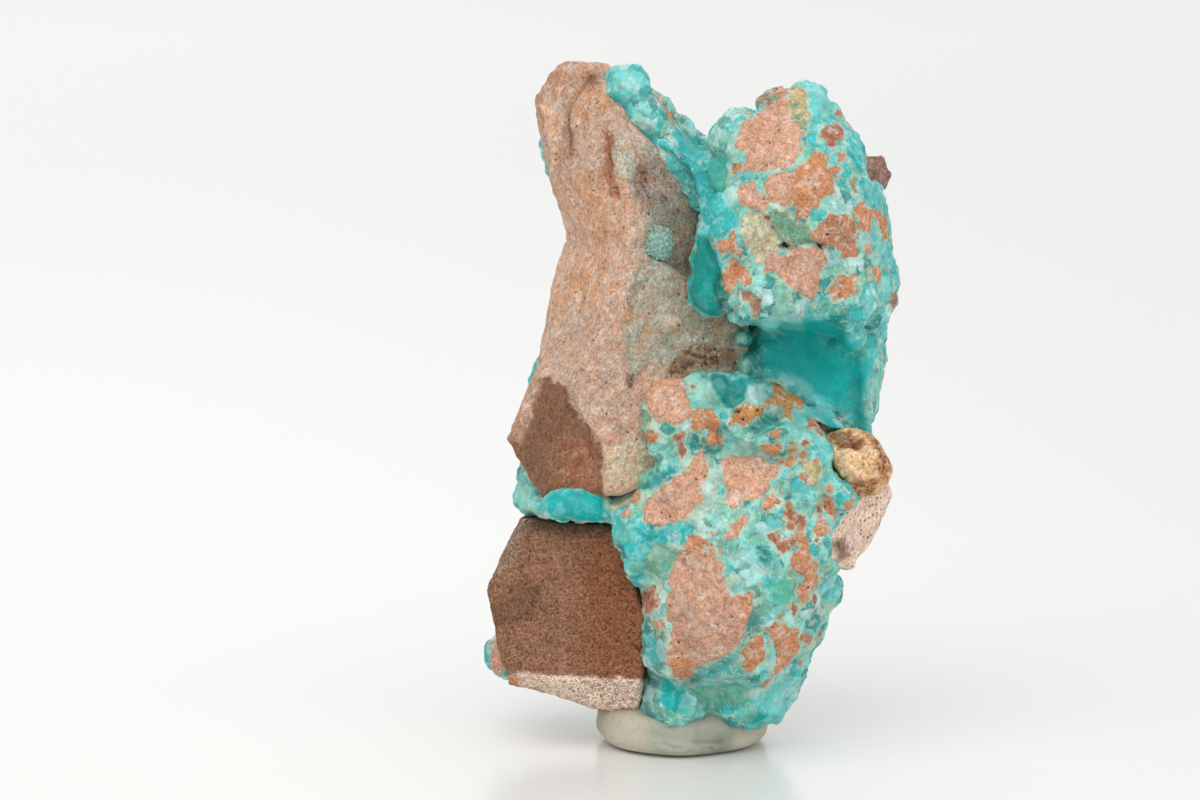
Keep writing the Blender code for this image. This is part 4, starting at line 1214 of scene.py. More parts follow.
class Paint:
    """Builds one material's nodes."""

    def __init__(self, name: str) -> None:
        """Starts an empty material.

        Args:
            name: What it is called.
        """
        self.material = bpy.data.materials.new(name)
        self.material.use_nodes = True
        self.tree = self.material.node_tree
        self.tree.nodes.clear()

    def node(
        self,
        kind: str,
        settings: dict[str, object] | None = None,
        sockets: dict[str | int, object] | None = None,
        out: str | int = 0,
    ) -> Sum:
        """Adds a node.

        Args:
            kind: The node's type, without the word ShaderNode before it.
            settings: Its own settings, such as a Math node's operation.
            sockets: What its input sockets hold: numbers, or links from other nodes.
            out: Which output to hand back.

        Returns:
            The output socket.
        """
        made = self.tree.nodes.new("ShaderNode" + kind)
        for name, value in (settings or {}).items():
            setattr(made, name, value)
        for name, value in (sockets or {}).items():
            if isinstance(value, Sum):
                self.tree.links.new(value.socket, made.inputs[name])
            else:
                made.inputs[name].default_value = value
        return Sum(self, made.outputs[out])

    def sum(self, operation: str, first: Sum | float, second: Sum | float = 0.0) -> Sum:
        """One step of arithmetic on numbers."""
        return self.node("Math", {"operation": operation}, {0: first, 1: second})

    def ramp(self, value: Sum, low: float, high: float) -> Sum:
        """0 below low and 1 above high, with a smooth step between them; high may be the lower."""
        sockets = {"Value": value, "From Min": low, "From Max": high}
        return self.node("MapRange", {"interpolation_type": "SMOOTHSTEP"}, sockets)

    def band(self, value: Sum, middle: float, half: float) -> Sum:
        """1 where the value is at the middle, falling to 0 at a half width from it."""
        away = self.sum("ABSOLUTE", value - middle)
        return self.ramp(away, half, 0.0)

    def mix(self, share: Sum | float, first: object, second: object, way: str = "MIX") -> Sum:
        """Two colours mixed in a blending way: a share of 1 gives the second."""
        settings = {"data_type": "RGBA", "blend_type": way}
        return self.node("Mix", settings, {0: share, 6: self.colour(first), 7: self.colour(second)}, 2)

    @staticmethod
    def colour(value: object) -> object:
        """A tint as the four numbers that a socket holds; anything else is handed back."""
        return (*map(float, value.linear), 1.0) if isinstance(value, Tint) else value

    def bright(self, colour: Sum, level: Sum | float) -> Sum:
        """A colour made lighter or darker by a level."""
        return self.node("VectorMath", {"operation": "SCALE"}, {0: colour, "Scale": level})

    def place(self) -> Sum:
        """The spot's place on the object, in mm."""
        spot = self.node("TexCoord", out="Object")
        return self.node("VectorMath", {"operation": "SCALE"}, {0: spot, "Scale": 1 / MM})

    def noise(
        self, place: Sum, size: float, detail: float = 2.0, twist: float = 0.0, keep: float = 0.5,
        out: int = 0,
    ) -> Sum:
        """Cloudy noise from 0 to 1, about that many mm wide, with finer noise kept on it."""
        finer = {"Detail": detail, "Roughness": keep, "Distortion": twist}
        return self.node("TexNoise", {}, {"Vector": place, "Scale": 1 / size, **finer}, out)

    def warped(self, place: Sum, size: float, reach: float) -> Sum:
        """The place pushed about by cloudy noise, by up to about that many mm."""
        push = {0: self.noise(place, size, out=1), 1: (reach,) * 3, 2: place}
        return self.node("VectorMath", {"operation": "MULTIPLY_ADD"}, push)

    def grains(self, place: Sum, size: float, kind: str = "F1", out: str = "Distance") -> Sum:
        """Scattered grains: how far the nearest one or the nearest seam is, over the size."""
        return self.node("TexVoronoi", {"feature": kind}, {"Vector": place, "Scale": 1 / size}, out)

    def chance(self, place: Sum, size: float) -> Sum:
        """A random number from 0 to 1 for each grain."""
        return self.node("SeparateColor", {}, {0: self.grains(place, size, out="Color")})

    def spots(self, place: Sum, size: float, share: float, reach: float) -> Sum:
        """1 in round spots that a share of the grains has, falling to 0 at a reach over the size."""
        chosen = self.ramp(self.chance(place, size), 1 - share - 0.01, 1 - share + 0.01)
        return self.ramp(self.grains(place, size), reach, reach * 0.5) * chosen

    def mark(self, name: str, out: str = "Fac") -> Sum:
        """A mark of the mesh's vertices: its number, or its colour with the out Color."""
        return self.node("Attribute", {"attribute_name": name}, out=out)

    def bump(self, height: Sum, depth: float) -> Sum:
        """A normal for a relief whose height of 1 is a depth in mm."""
        return self.node("Bump", {}, {"Height": height, "Strength": 1.0, "Distance": depth * MM})

    def surface(self, **sockets: object) -> Sum:
        """A surface shader; a socket's name has _ for each space."""
        named = {name.replace("_", " "): self.colour(value) for name, value in sockets.items()}
        return self.node("BsdfPrincipled", {}, named)

    def finish(self, shader: Sum) -> bpy.types.Material:
        """Puts a shader on the material's output.

        Args:
            shader: The shader.

        Returns:
            The finished material.
        """
        output = self.tree.nodes.new("ShaderNodeOutputMaterial")
        self.tree.links.new(shader.socket, output.inputs["Surface"])
        return self.material


@dataclass(frozen=True)
class RockFinish:
    """Granular broken rock: how coarse its grains are, and how strongly they and its clouds show.

    The haze is how far it is clouded with pale dust and the warmth how far with iron, the pits are
    the share of its grains that have fallen out, the relief is its height in mm, the stretch draws
    the pattern out along each axis, and the lean turns it about the Y axis, in degrees.
    """

    grain: float = 0.3
    contrast: float = 1.0
    clouding: float = 1.2
    haze: float = 0.5
    warmth: float = 0.5
    pits: float = 0.03
    relief: float = 0.16
    stretch: Point = (0.9, 1.0, 1.3)
    lean: float = 50.0

    def shader(self, paint: Paint, tint: Sum, specks: Sum | float) -> Sum:
        """The rock's surface.

        Args:
            paint: The material's builder.
            tint: The rock's broad colour.
            specks: How many iron specks there are, from 0 to 1.

        Returns:
            The shader.
        """
        place = paint.place()
        broad = paint.noise(place, 3.4, 3.0, 0.4)
        laid = {"Vector": place, "Rotation": (0, np.radians(self.lean), 0), "Scale": self.stretch}
        drawn = paint.node("Mapping", {"vector_type": "TEXTURE"}, laid)
        middle = paint.noise(drawn, 1.0, 5.0, 0.15, keep=0.76)
        fine = paint.noise(place, self.grain, 2.0)
        own = paint.chance(place, self.grain)
        fair = paint.ramp(paint.node("SeparateColor", {}, {0: tint}), 0.22, 0.42)
        warm = paint.ramp(paint.noise(drawn, 1.8, 5.0, 0.15, keep=0.74), 0.48, 0.60)
        colour = paint.mix(warm * self.warmth * fair, tint, Tint.ORANGE)
        pale = paint.ramp(paint.noise(drawn, 1.4, 5.0, 0.2, keep=0.78), 0.50, 0.60) * fair
        colour = paint.mix(pale * self.haze, colour, Tint.HAZE)
        level = 0.98 + (broad - 0.5) * 0.4 + (middle - 0.5) * self.clouding
        level = level + ((fine - 0.5) * 1.2 + (own - 0.5) * 0.36) * self.contrast
        colour = paint.bright(colour, level)
        rusty = paint.ramp(paint.noise(place, 0.6, 4.0, 0.5, keep=0.6) + specks * 0.14, 0.62, 0.68)
        colour = paint.mix(rusty * specks * 0.8, colour, Tint.RUST)
        pits = paint.spots(paint.warped(place, 0.4, 0.4), 0.5, self.pits, 0.44)
        stains = paint.noise(place, 0.45, 4.0, 0.3, keep=0.6) + specks * 0.12
        stains = paint.ramp(stains, 0.65, 0.70) * specks
        # The pits darkened as painted shade in them, and the rock's own dark stains.
        colour = paint.mix((pits + stains) * 0.8, colour, Tint.DARK)
        height = fine * 0.5 + middle * 1.8 + own * 0.2 - pits * 0.8 - stains * 0.4
        return paint.surface(
            Base_Color=colour, Roughness=0.85, Specular_IOR_Level=0.25,
            Normal=paint.bump(height, self.relief),
        )


@dataclass(frozen=True)
class CrustFinish:
    """Hemimorphite: translucent, softly glossy, and grown in patches of many greens and blues.

    Its patches, pebbles and chips are about this many mm apart, and its relief this high.
    """

    depth: float = 0.5
    translucence: float = 0.25
    patch: float = 1.7
    pebble: float = 1.5
    chip: float = 0.9
    relief: float = 0.18
    stone: RockFinish = RockFinish(contrast=0.9, haze=0.55, warmth=0.35, pits=0.02, stretch=(1, 1, 1))

    def growth(self, paint: Paint, stone: Sum) -> Sum:
        """The surface of the hemimorphite itself, between the stones.

        Args:
            paint: The material's builder.
            stone: How deep the spot is in a stone, in mm.

        Returns:
            The shader.
        """
        place = paint.place()
        swell, gravel = paint.mark("swell"), paint.mark("rough")
        rough = paint.sum("MINIMUM", gravel, 1.0)
        cloud = paint.noise(place, 1.4, 5.0, 0.6, keep=0.62)
        fine = paint.noise(place, 0.35, 3.0, 0.2)
        loose = paint.warped(place, 0.9, 0.9)
        patch = paint.chance(loose, self.patch)
        seam = paint.grains(loose, self.patch, "DISTANCE_TO_EDGE")
        colour = paint.mark("growth_tint", "Color")
        for tint, low, high, share in (
            (Tint.SEAGREEN, 0.0, 0.14, 0.8), (Tint.POOL_TEAL_AND_SHADE, 0.14, 0.32, 0.8), (Tint.BRIGHT, 0.32, 0.50, 0.8),
            (Tint.LIGHT, 0.70, 0.86, 0.8), (Tint.FROST, 0.86, 1.0, 0.85),
        ):
            chosen = paint.band(patch, (low + high) / 2, (high - low) / 2)
            colour = paint.mix(paint.ramp(chosen, 0.0, 0.2) * rough * share, colour, tint)
        rims = paint.ramp(seam + (fine - 0.5) * 0.1, 0.09, 0.03) * paint.ramp(cloud, 0.42, 0.55) * rough
        colour = paint.mix(rims * 0.6, colour, Tint.HALO)
        uneven = (cloud - 0.5) * 1.3 + (fine - 0.5) * 0.7
        # Painted light: brighter on the knobs' tops, with the growth's uneven tone.
        level = 0.84 + swell * 0.2 + uneven * (0.3 + rough * 0.7)
        colour = paint.bright(colour, level)
        # Painted shade: deeper teal in the hollows between the knobs.
        colour = paint.mix(paint.ramp(swell, 0.3, 0.0) * rough * 0.3, colour, Tint.POOL_TEAL_AND_SHADE)
        streaks = paint.noise(loose, 0.7, 4.0, 0.8, keep=0.6)
        frost = paint.ramp(streaks + (cloud - 0.5) * 0.4, 0.56, 0.66) * rough
        colour = paint.mix(frost * 0.6, colour, Tint.FROST)
        patchy = paint.ramp(paint.noise(place, 1.3, 3.0), 0.40, 0.58)
        # Pale, then cream, towards the edge of a stone.
        near = stone + (fine - 0.5) * 0.4
        colour = paint.mix(paint.ramp(near, -0.7, -0.15) * patchy * 0.5, colour, Tint.HALO)
        colour = paint.mix(paint.band(near, -0.30, 0.16) * patchy * 0.7, colour, Tint.CREAM)
        # Crumbs of rock: a few chips all over, and pebbles with pale rims where it is gravelly.
        chips = paint.spots(loose, self.chip, 0.22, 0.42) * rough * paint.ramp(cloud, 0.44, 0.56)
        pebbles = paint.spots(loose, self.pebble, 0.45, 0.52) * paint.ramp(gravel, 1.1, 1.5)
        ring = paint.spots(loose, self.pebble, 0.45, 0.70) * paint.ramp(gravel, 1.1, 1.5)
        colour = paint.mix(ring * 0.6, colour, Tint.CREAM)
        colour = paint.mix(chips * 0.85, colour, Tint.ORANGE)
        orange = paint.bright(paint.mix(patch, Tint.ORANGE, Tint.RED_BROWN), 0.9 + uneven * 1.2)
        colour = paint.mix(pebbles * 0.95, colour, orange)
        height = (1 - paint.grains(place, 0.5)) * 0.5 + fine * 0.6 + cloud * 0.9
        height = (height + paint.ramp(seam, 0.0, 0.14) * 0.4 + pebbles * 0.5) * (0.12 + rough * 0.88)
        return paint.surface(
            Base_Color=colour, Roughness=0.30 + fine * 0.3, Specular_IOR_Level=0.22,
            Subsurface_Weight=self.translucence, Subsurface_Radius=(0.3, 1.0, 0.95),
            Subsurface_Scale=self.depth * MM, Normal=paint.bump(height, self.relief),
        )

    def make(self, name: str) -> bpy.types.Material:
        """The whole crust: growth and stones, parted by the stones' ragged edges.

        Args:
            name: What the material is called.

        Returns:
            The material.
        """
        paint = Paint(name)
        place = paint.place()
        ragged = (paint.noise(place, 0.9, 4.0, 0.5, keep=0.6) - 0.5) * 1.3
        stone = paint.mark("stone") + ragged
        tint = paint.mark("stone_tint", "Color")
        rim = paint.ramp(stone, 0.34, 0.08) * paint.ramp(paint.noise(place, 1.0, 2.0), 0.40, 0.55)
        tint = paint.mix(rim * 0.75, tint, Tint.ORANGE)
        rock = self.stone.shader(paint, tint, 0.35)
        mask = paint.ramp(stone, -0.03, 0.03)
        growth = self.growth(paint, stone)
        return paint.finish(paint.node("MixShader", {}, {0: mask, 1: growth, 2: rock}))


def wavers(points: Array, sizes: Corner, heights: Corner, seeds: tuple[int, int]) -> Array:
    """How far an outline wavers to the right and up, in mm: a sum of two waves for each."""
    return np.stack([ripples(points, sizes, heights, seed) for seed in seeds], 1)


def overlaid(
    base: Array, weight: Array, zones: Sequence[Zone], seed: int, points: Array, start: float = 1.0
) -> tuple[Array, Array, Array]:
    """Colours laid over a base, zone by zone.

    Args:
        base: Each vertex's colour before.
        weight: How much each vertex takes of the zones, from 0 to 1.
        zones: What to lay over it, the last on top.
        seed: Which random waver the outlines get.
        points: The vertices' places in mm.
        start: The grit where there is no zone.

    Returns:
        Each vertex's colour, its grit, and its rise.
    """
    colour = base.astype(np.float32)
    grit, rise = np.full(len(base), start, np.float32), np.zeros(len(base), np.float32)
    places = SIGHT.on_plane(points)
    waver = wavers(points, (1.1, 0.5), (0.28, 0.16), (seed, seed + 7))
    for zone in zones:
        rows = close_to(places, zone.corners, zone.feather + 0.6)
        depth = depth_inside(places[rows] + waver[rows], zone.corners)
        share = fade(depth, -zone.feather, zone.feather) * weight[rows]
        colour[rows] += share[:, None] * (zone.tint.linear - colour[rows])
        grit[rows] += share * (zone.grit - grit[rows])
        rise[rows] += share * (zone.rise - rise[rows])
    return colour, grit, rise


def creases(points: Array, seen: Array) -> Array:
    """How deep the creases are.

    Formula: the depth falls off with the distance from a line as a bell curve of its width.

    Args:
        points: The vertices' places.
        seen: 1 where they face the viewer, 0 where they are turned away.

    Returns:
        One depth in mm for each vertex, with a minus on a ridge.
    """
    places, depth = SIGHT.on_plane(points), np.zeros(len(points))
    for groove in GROOVES:
        rows = close_to(places, groove.corners, 3 * groove.width)
        far = distance_to_line(places[rows], groove.corners)
        depth[rows] += groove.depth * np.exp(-((far / groove.width) ** 2)) * seen[rows]
    return depth


class Outline:
    """A closed outline, with its depths worked out on a grid so that they are quick to look up."""

    def __init__(self, corners: Sequence[Corner], step: float = 0.2) -> None:
        """Works out the depths, from a margin outside the outline inwards.

        Args:
            corners: The outline's corners.
            step: The distance between the grid's points in mm.
        """
        box = np.array(corners, float)
        self.low, self.step = box.min(0) - MARGIN, step
        axes = [np.arange(self.low[i], box[:, i].max() + MARGIN, step) for i in range(2)]
        places = np.stack(np.meshgrid(*axes, indexing="ij"), -1)
        self.depths = depth_inside(places.reshape(-1, 2), corners).reshape(places.shape[:2])

    def depth(self, places: Array) -> Array:
        """How deep places are inside the outline.

        Formula: the mean of the four grid points round a place, weighted by how near they are.

        Args:
            places: Right and up in mm, one row each.

        Returns:
            One depth in mm for each place.
        """
        spot = np.clip((places - self.low) / self.step, 0, np.array(self.depths.shape) - 1.001)
        i, j = spot.astype(int).T
        a, b = (spot % 1).T
        left = self.depths[i, j] * (1 - b) + self.depths[i, j + 1] * b
        return left * (1 - a) + (self.depths[i + 1, j] * (1 - b) + self.depths[i + 1, j + 1] * b) * a


@dataclass(frozen=True)
class Domes:
    """Round knobs scattered over a surface: how far apart in mm, how high in mm, and how steep."""

    size: float
    height: float
    steep: float

    def over(self, points: Array, seed: int) -> Array:
        """How much of a knob is at each point: 1 less the square of its distance over its reach."""
        far, _, _ = scattered(points, self.size, seed)
        return np.clip(1 - (far / self.size * self.steep) ** 2, 0, 1)


@dataclass
class Crust:
    """The blue-green growth that holds the rocks together, with small stones flush in it.

    In mm: the steps part the grids' points, lumps run together over the blend and bubbles over the
    crease, the rims of the vug and of bare rock are rounded over theirs, and the surface is sunk to
    make up for its knobs. Where it isn't seen, stones lie on a share of random places, this far
    apart.
    """

    step: float = 0.28
    back_step: float = 0.36
    blend: float = 1.3
    crease: float = 0.45
    vug_rim: float = 0.8
    bare_rim: float = 0.7
    wave_sizes: tuple[float, ...] = (6.0, 3.0, 1.6)
    wave_heights: tuple[float, ...] = (0.45, 0.40, 0.30)
    knobs: Domes = Domes(2.3, 0.42, 1.5)
    beads: Domes = Domes(0.95, 0.20, 1.45)
    grain: float = 0.12
    sunk: float = 0.2
    hidden_apart: float = 5.2
    hidden_share: float = 0.48
    finish: CrustFinish = CrustFinish()

    def build(self) -> None:
        """Makes the upper, the lower and the back part of the crust."""
        material = self.finish.make("hemimorphite with stones")
        bare = [(back, Outline(corners)) for back, corners in BARE]
        for name, lumps, bubbles, step, base, windows in (
            ("crust_upper", UPPER_LUMPS, UPPER_BUBBLES, self.step, Tint.CRUST, bare),
            ("crust_lower", LOWER_LUMPS, LOWER_BUBBLES, self.step, Tint.CRUST, bare),
            ("crust_back", BACK_LUMPS, (), self.back_step, Tint.BACK_CRUST, ()),
        ):
            skin = self.shape(lumps, bubbles, step, windows)
            self.dress(skin, base)
            put_on(skin.make(name, material), "hemimorphite_crust")

    def shape(
        self,
        lumps: Sequence[Lump],
        bubbles: Sequence[Lump],
        step: float,
        windows: Sequence[tuple[float, Outline]],
    ) -> Skin:
        """The lumps run together, with waves on them, and then the smooth bubbles.

        Formula: the vug is taken out of the lumps, and in front of a rock so is what lies inside an
        outline of bare rock, with a smooth greatest of the depths.

        Args:
            lumps: The lumps.
            bubbles: The bubbles.
            step: The distance between the grid's points in mm.
            windows: Where the rock is bare: how far back, and the outline.

        Returns:
            The surface.
        """
        middles = np.array([lump[0] for lump in lumps])
        halves = np.array([[max(h[0], h[2]), h[1], max(h[0], h[2])] for _, h, _ in lumps])
        grid = Grid((middles - halves).min(0) - MARGIN, (middles + halves).max(0) + MARGIN, step)
        for lump in lumps:
            grid.join(lump, self.blend)
        grid.hollow(VUG, self.vug_rim)
        found, points = grid.near(-2.0, 2.0)
        waves = ripples(points, self.wave_sizes, self.wave_heights, Seed.CRUST_WAVES)
        grid.values[found] -= waves * (1 - 0.8 * self.in_vug(points))
        for bubble in bubbles:
            grid.join(bubble, self.crease)
        found, points = grid.near(DEEPEST, 1.5)
        places = SIGHT.on_plane(points)
        waver = 0.25 * ripple(points, 1.2, Seed.BARE_EDGES)
        for back, outline in windows:
            depth = np.where(points[:, 1] < back, outline.depth(places) + waver, -FAR_OUTSIDE)
            grid.values[found] = -smooth_least(-grid.values[found], -depth, self.bare_rim, dip=0.5)
        skin = Skin(*grid.skin())
        skin.relax()
        return skin

    @staticmethod
    def in_vug(points: Array) -> Array:
        """1 inside the vug and on its walls, 0 a little away from it."""
        return fade(-lump_depth(points.T, VUG), -1.2, -0.4)

    def dress(self, skin: Skin, base: Tint) -> None:
        """Adds knobs, stones and their marks to a bare skin.

        Args:
            skin: The surface.
            base: The growth's colour where no zone lies.
        """
        points = skin.places
        seen = skin.seen(0.22)
        stone, tint, rise = self.stones(points, seen)
        colours = coat(base, points)
        for shade, size in ((Tint.LIGHT, 5.0), (Tint.BRIGHT, 4.0)):
            there = 0.35 * fade(ripple(points, size, Seed.CRUST_CLOUDS + int(size)), -0.3, 0.6)
            colours += there[:, None] * (shade.linear - colours)
        vug = self.in_vug(points)
        colours += vug[:, None] * (Tint.VUG.linear - colours)
        colours, grit, lift = overlaid(colours, seen, GROWTH, Seed.GROWTH_EDGES, points)
        grit = grit * (1 - 0.85 * vug)
        knob, bead = self.knobs.over(points, Seed.KNOBS), self.beads.over(points, Seed.BEADS)
        growth = self.knobs.height * knob + self.beads.height * bead
        growth = growth + self.grain * ripple(points, 0.6, Seed.CRUST_GRAIN)
        gravel = 0.14 * ripple(points, 0.9, Seed.GRAVEL) + 0.10 * ripple(points, 0.45, Seed.FINE_GRAVEL)
        inside = fade(stone, -0.25, 0.25)
        relief = (1 - inside) * (np.minimum(grit, 1) * growth + lift) + inside * (0.1 + rise + gravel)
        skin.push(relief - self.sunk - creases(points, seen))
        skin.marks = {
            "stone": stone,
            "stone_tint": tint,
            "growth_tint": colours,
            # How high the knobs stand, which paints light on their tops and shade between them.
            "swell": np.clip(0.15 + 0.6 * knob + 0.45 * bead, 0, 1),
            "rough": np.clip(grit, 0, 2),
        }

    def stones(self, points: Array, seen: Array) -> tuple[Array, Array, Array]:
        """Where the stones lie.

        Args:
            points: The vertices' places.
            seen: 1 where they face the viewer, 0 where they are turned away.

        Returns:
            How deep each vertex is in a stone, the nearest stone's colour, and its rise.
        """
        places = SIGHT.on_plane(points)
        seeds = Seed.STONE_EDGES, Seed.STONE_EDGES + 5
        waver = wavers(points, (0.9, 0.45), (0.26, 0.16), seeds)
        stone = np.full(len(points), -3.0, np.float32)
        tint = coat(Tint.SALMON, points)
        rise = np.zeros(len(points), np.float32)
        for patch in STONES:
            rows = close_to(places, patch.corners, 1.2)
            depth = depth_inside(places[rows] + waver[rows], patch.corners) - 3 * (1 - seen[rows])
            on_top = (depth > stone[rows]) | (depth > 0)
            chosen = rows[on_top]
            stone[chosen] = np.maximum(stone[chosen], depth[on_top])
            tint[chosen] = patch.tint.linear
            rise[chosen] = patch.rise
        stirred = points + 0.5 * waver[:, [0, 1, 0]]
        far, next_far, own = scattered(stirred, self.hidden_apart, Seed.HIDDEN_STONES)
        hidden = np.where(own > 1 - self.hidden_share, (next_far - far) * 0.5 - 0.55, -1.0)
        hidden = hidden - 3 * fade(seen, 0.0, 0.5)
        more = hidden > stone
        choice = np.array([t.linear for t in (Tint.SALMON, Tint.ORANGE, Tint.BROWN_ORANGE, Tint.PINK)])
        picked = choice[(own * 997).astype(int) % len(choice)]
        tint = np.where(more[:, None], picked, tint)
        return np.maximum(stone, hidden), tint, np.where(more, 0.1, rise)


@dataclass
class Rock:
    """A broken piece of the brown host rock.

    It stands for a node, and its chunks are hulls of corners. The base is its colour and the grit
    its share of iron specks where no zone lies. In mm: the step parts the grid's points, the waves
    are the heights of its ripples, and its facets are this wide and this uneven.
    """

    name: str
    node: str
    slot: str
    chunks: tuple[tuple[Point, ...], ...]
    base: Tint
    zones: tuple[Zone, ...] = ()
    step: float = 0.33
    grit: float = 0.2
    waves: tuple[float, ...] = (0.22, 0.16, 0.14, 0.09)
    wave_sizes: tuple[float, ...] = (7.0, 3.2, 1.5, 0.8)
    facets: tuple[float, float] = (2.6, 0.22)
    finish: RockFinish = RockFinish()

    def build(self) -> None:
        """Makes the piece and hands it over."""
        skin = self.shape()
        self.dress(skin)
        put_on(skin.make(self.name, self.material()), self.node)

    def shape(self) -> Skin:
        """The chunks together, their faces waved and their edges chipped.

        Returns:
            The surface.
        """
        places = np.concatenate([np.array(chunk) for chunk in self.chunks])
        grid = Grid(places.min(0) - MARGIN, places.max(0) + MARGIN, self.step)
        for chunk in self.chunks:
            grid.join_chunk(chunk)
        found, points = grid.near(-1.6, 1.6)
        waves = ripples(points, self.wave_sizes, self.waves, Seed.ROCK_WAVES)
        wide, uneven = self.facets
        _, _, own = scattered(points, wide, Seed.ROCK_FACETS)
        grid.values[found] -= waves + uneven * (own - 0.5)
        skin = Skin(*grid.skin())
        skin.relax()
        return skin

    def dress(self, skin: Skin) -> None:
        """Lays the colours over the piece, and cuts its creases.

        Args:
            skin: The surface.
        """
        points, seen, base = skin.places, skin.seen(), coat(self.base, skin.places)
        colours, specks, height = overlaid(base, seen, self.zones, Seed.ROCK_EDGES, points, self.grit)
        skin.push(height + 0.08 * ripple(points, 0.55, Seed.ROCK_GRAIN) - creases(points, seen))
        skin.marks = {"tint": colours, "specks": specks}

    def material(self) -> bpy.types.Material:
        """The rock's finish, coloured by the marks.

        Returns:
            The material.
        """
        paint = Paint(self.name.replace("_", " "))
        tint = paint.mark("tint", "Color")
        return paint.finish(self.finish.shader(paint, tint, paint.mark("specks")))


@dataclass
class Nodule(Rock):
    """The tan pebble in the right shoulder: a lump with a hollow under its upper rim, coloured dark there
    as painted shade.
    """

    wave_sizes: tuple[float, ...] = (4.0, 2.0, 1.0, 0.5)
    lumps: tuple[Lump, ...] = (
        ((19.3, -7.0, 36.3), (3.3, 4.6, 3.1), 25),
        ((20.6, -6.2, 34.6), (2.9, 4.4, 3.1), 0),
        ((17.3, -6.4, 37.2), (2.5, 3.7, 1.6), -35),
    )

    def shape(self) -> Skin:
        """A few balls run together, and waved.

        Returns:
            The surface.
        """
        middles = np.array([lump[0] for lump in self.lumps])
        grid = Grid(middles.min(0) - 7, middles.max(0) + 7, self.step)
        for lump in self.lumps:
            grid.join(lump, 0.8)
        found, points = grid.near(-1.4, 1.4)
        grid.values[found] -= ripples(points, self.wave_sizes, self.waves, Seed.NODULE_WAVES)
        return Skin(*grid.skin())


@dataclass
class Rosette:
    """The round cluster of pale crystals that sits alone on the slab.

    Its rim is notched between the spikes, and its face is cut between facets, this far apart and
    this wide in mm, both by a share of the radius. The turn is the way that it looks, in degrees.
    """

    centre: Point = (-4.2, -6.9, 61.3)
    radius: float = 2.3
    flatness: float = 0.8
    spikes: int = 27
    rings: int = 96
    notch: float = 0.30
    facets: tuple[float, float] = (0.42, 0.34)
    cut: float = 0.14
    turn: float = 18.0

    def build(self) -> None:
        """Makes the cluster and hands it over."""
        put_on(self.shape().make("rosette", self.material()), "crystal_rosette")

    def shape(self) -> Skin:
        """A flattened ball with crystal points round its rim and small facets on its face.

        Formula: the radius is lessened by a triangle wave of uneven heights round the rim, and by
        the distance to the nearest facet's middle, over a grid of angles round and across the ball.

        Returns:
            The surface.
        """
        sides = 8 * self.spikes
        across = np.linspace(0, np.pi, self.rings + 2)[1:-1]
        around = np.arange(sides) * 2 * np.pi / sides
        a, b = (angles.ravel() for angles in np.meshgrid(across, around, indexing="ij"))
        unit = np.stack([np.sin(a) * np.cos(b), np.sin(a) * np.sin(b), np.cos(a)], -1)
        turn = b / (2 * np.pi) * self.spikes + 0.6 * np.cos(a * 5)
        whole = np.floor(turn).astype(int) % self.spikes
        heights = 0.4 + 0.6 * np.random.default_rng(Seed.SPIKES).random(self.spikes)
        point = np.abs(turn % 1 - 0.5) * 2 * heights[whole]
        apart, half = self.facets
        far, _, own = scattered(unit * self.radius, apart, Seed.CRYSTAL_FACETS)
        facet = np.clip(1 - (far / half) ** 2, 0, 1) * (0.4 + 0.6 * own)
        rim = np.sin(a) ** 6
        depth = self.notch * rim * point + self.cut * (1 - facet)
        shape = unit * (self.radius * (1 - depth))[:, None]
        poles = np.array([[0, 0, 1], [0, 0, -1]]) * self.radius * 0.96
        shape = np.concatenate([shape, poles]) * (1, 1, self.flatness)
        places = shape @ self.lean().T + np.array(self.centre)
        # Highest in the facets' middles and lowest in the notches, for painted light and shade on the
        # crystals.
        swell = np.append(facet * (1 - 0.7 * rim * point), [0.5, 0.5])
        return Skin(places, capped_faces(self.rings, sides, rising=False), {"swell": swell})

    def lean(self) -> Array:
        """The turn that stands the ball on its edge and lays its back on the slab's right-hand face.

        Returns:
            Three rows of three numbers.
        """
        angle = np.radians(self.turn)
        stand = np.array([[1, 0, 0], [0, 0, -1], [0, 1, 0]], float)
        right, up = np.cos(angle), np.sin(angle)
        return np.array([[right, -up, 0], [up, right, 0], [0, 0, 1]]) @ stand

    @staticmethod
    def material() -> bpy.types.Material:
        """Pale glassy crystals, with painted light: paler and brighter in the middles of their facets,
        darker in the notches between them.

        Returns:
            The material.
        """
        paint = Paint("rosette crystals")
        place = paint.place()
        fine = paint.noise(place, 0.22, 3.0)
        painted_facet_light = paint.mark("swell")
        # Painted light and shade: paler and brighter where the facets stand out, darker in the notches.
        colour = paint.mix(painted_facet_light * 0.45 + (fine - 0.5) * 1.1, Tint.ROSETTE, Tint.HALO)
        rust = paint.ramp(paint.noise(place, 1.2, 3.0), 0.52, 0.62)
        colour = paint.mix(rust * 0.35, colour, Tint.OCHRE)
        colour = paint.bright(colour, 0.72 + painted_facet_light * 0.42 + (fine - 0.5) * 0.7)
        return paint.finish(paint.surface(
            Base_Color=colour, Roughness=0.45 + fine * 0.2, Subsurface_Weight=0.15,
            Subsurface_Radius=(0.4, 1.0, 0.95), Subsurface_Scale=0.4 * MM,
            Normal=paint.bump(fine, 0.08),
        ))


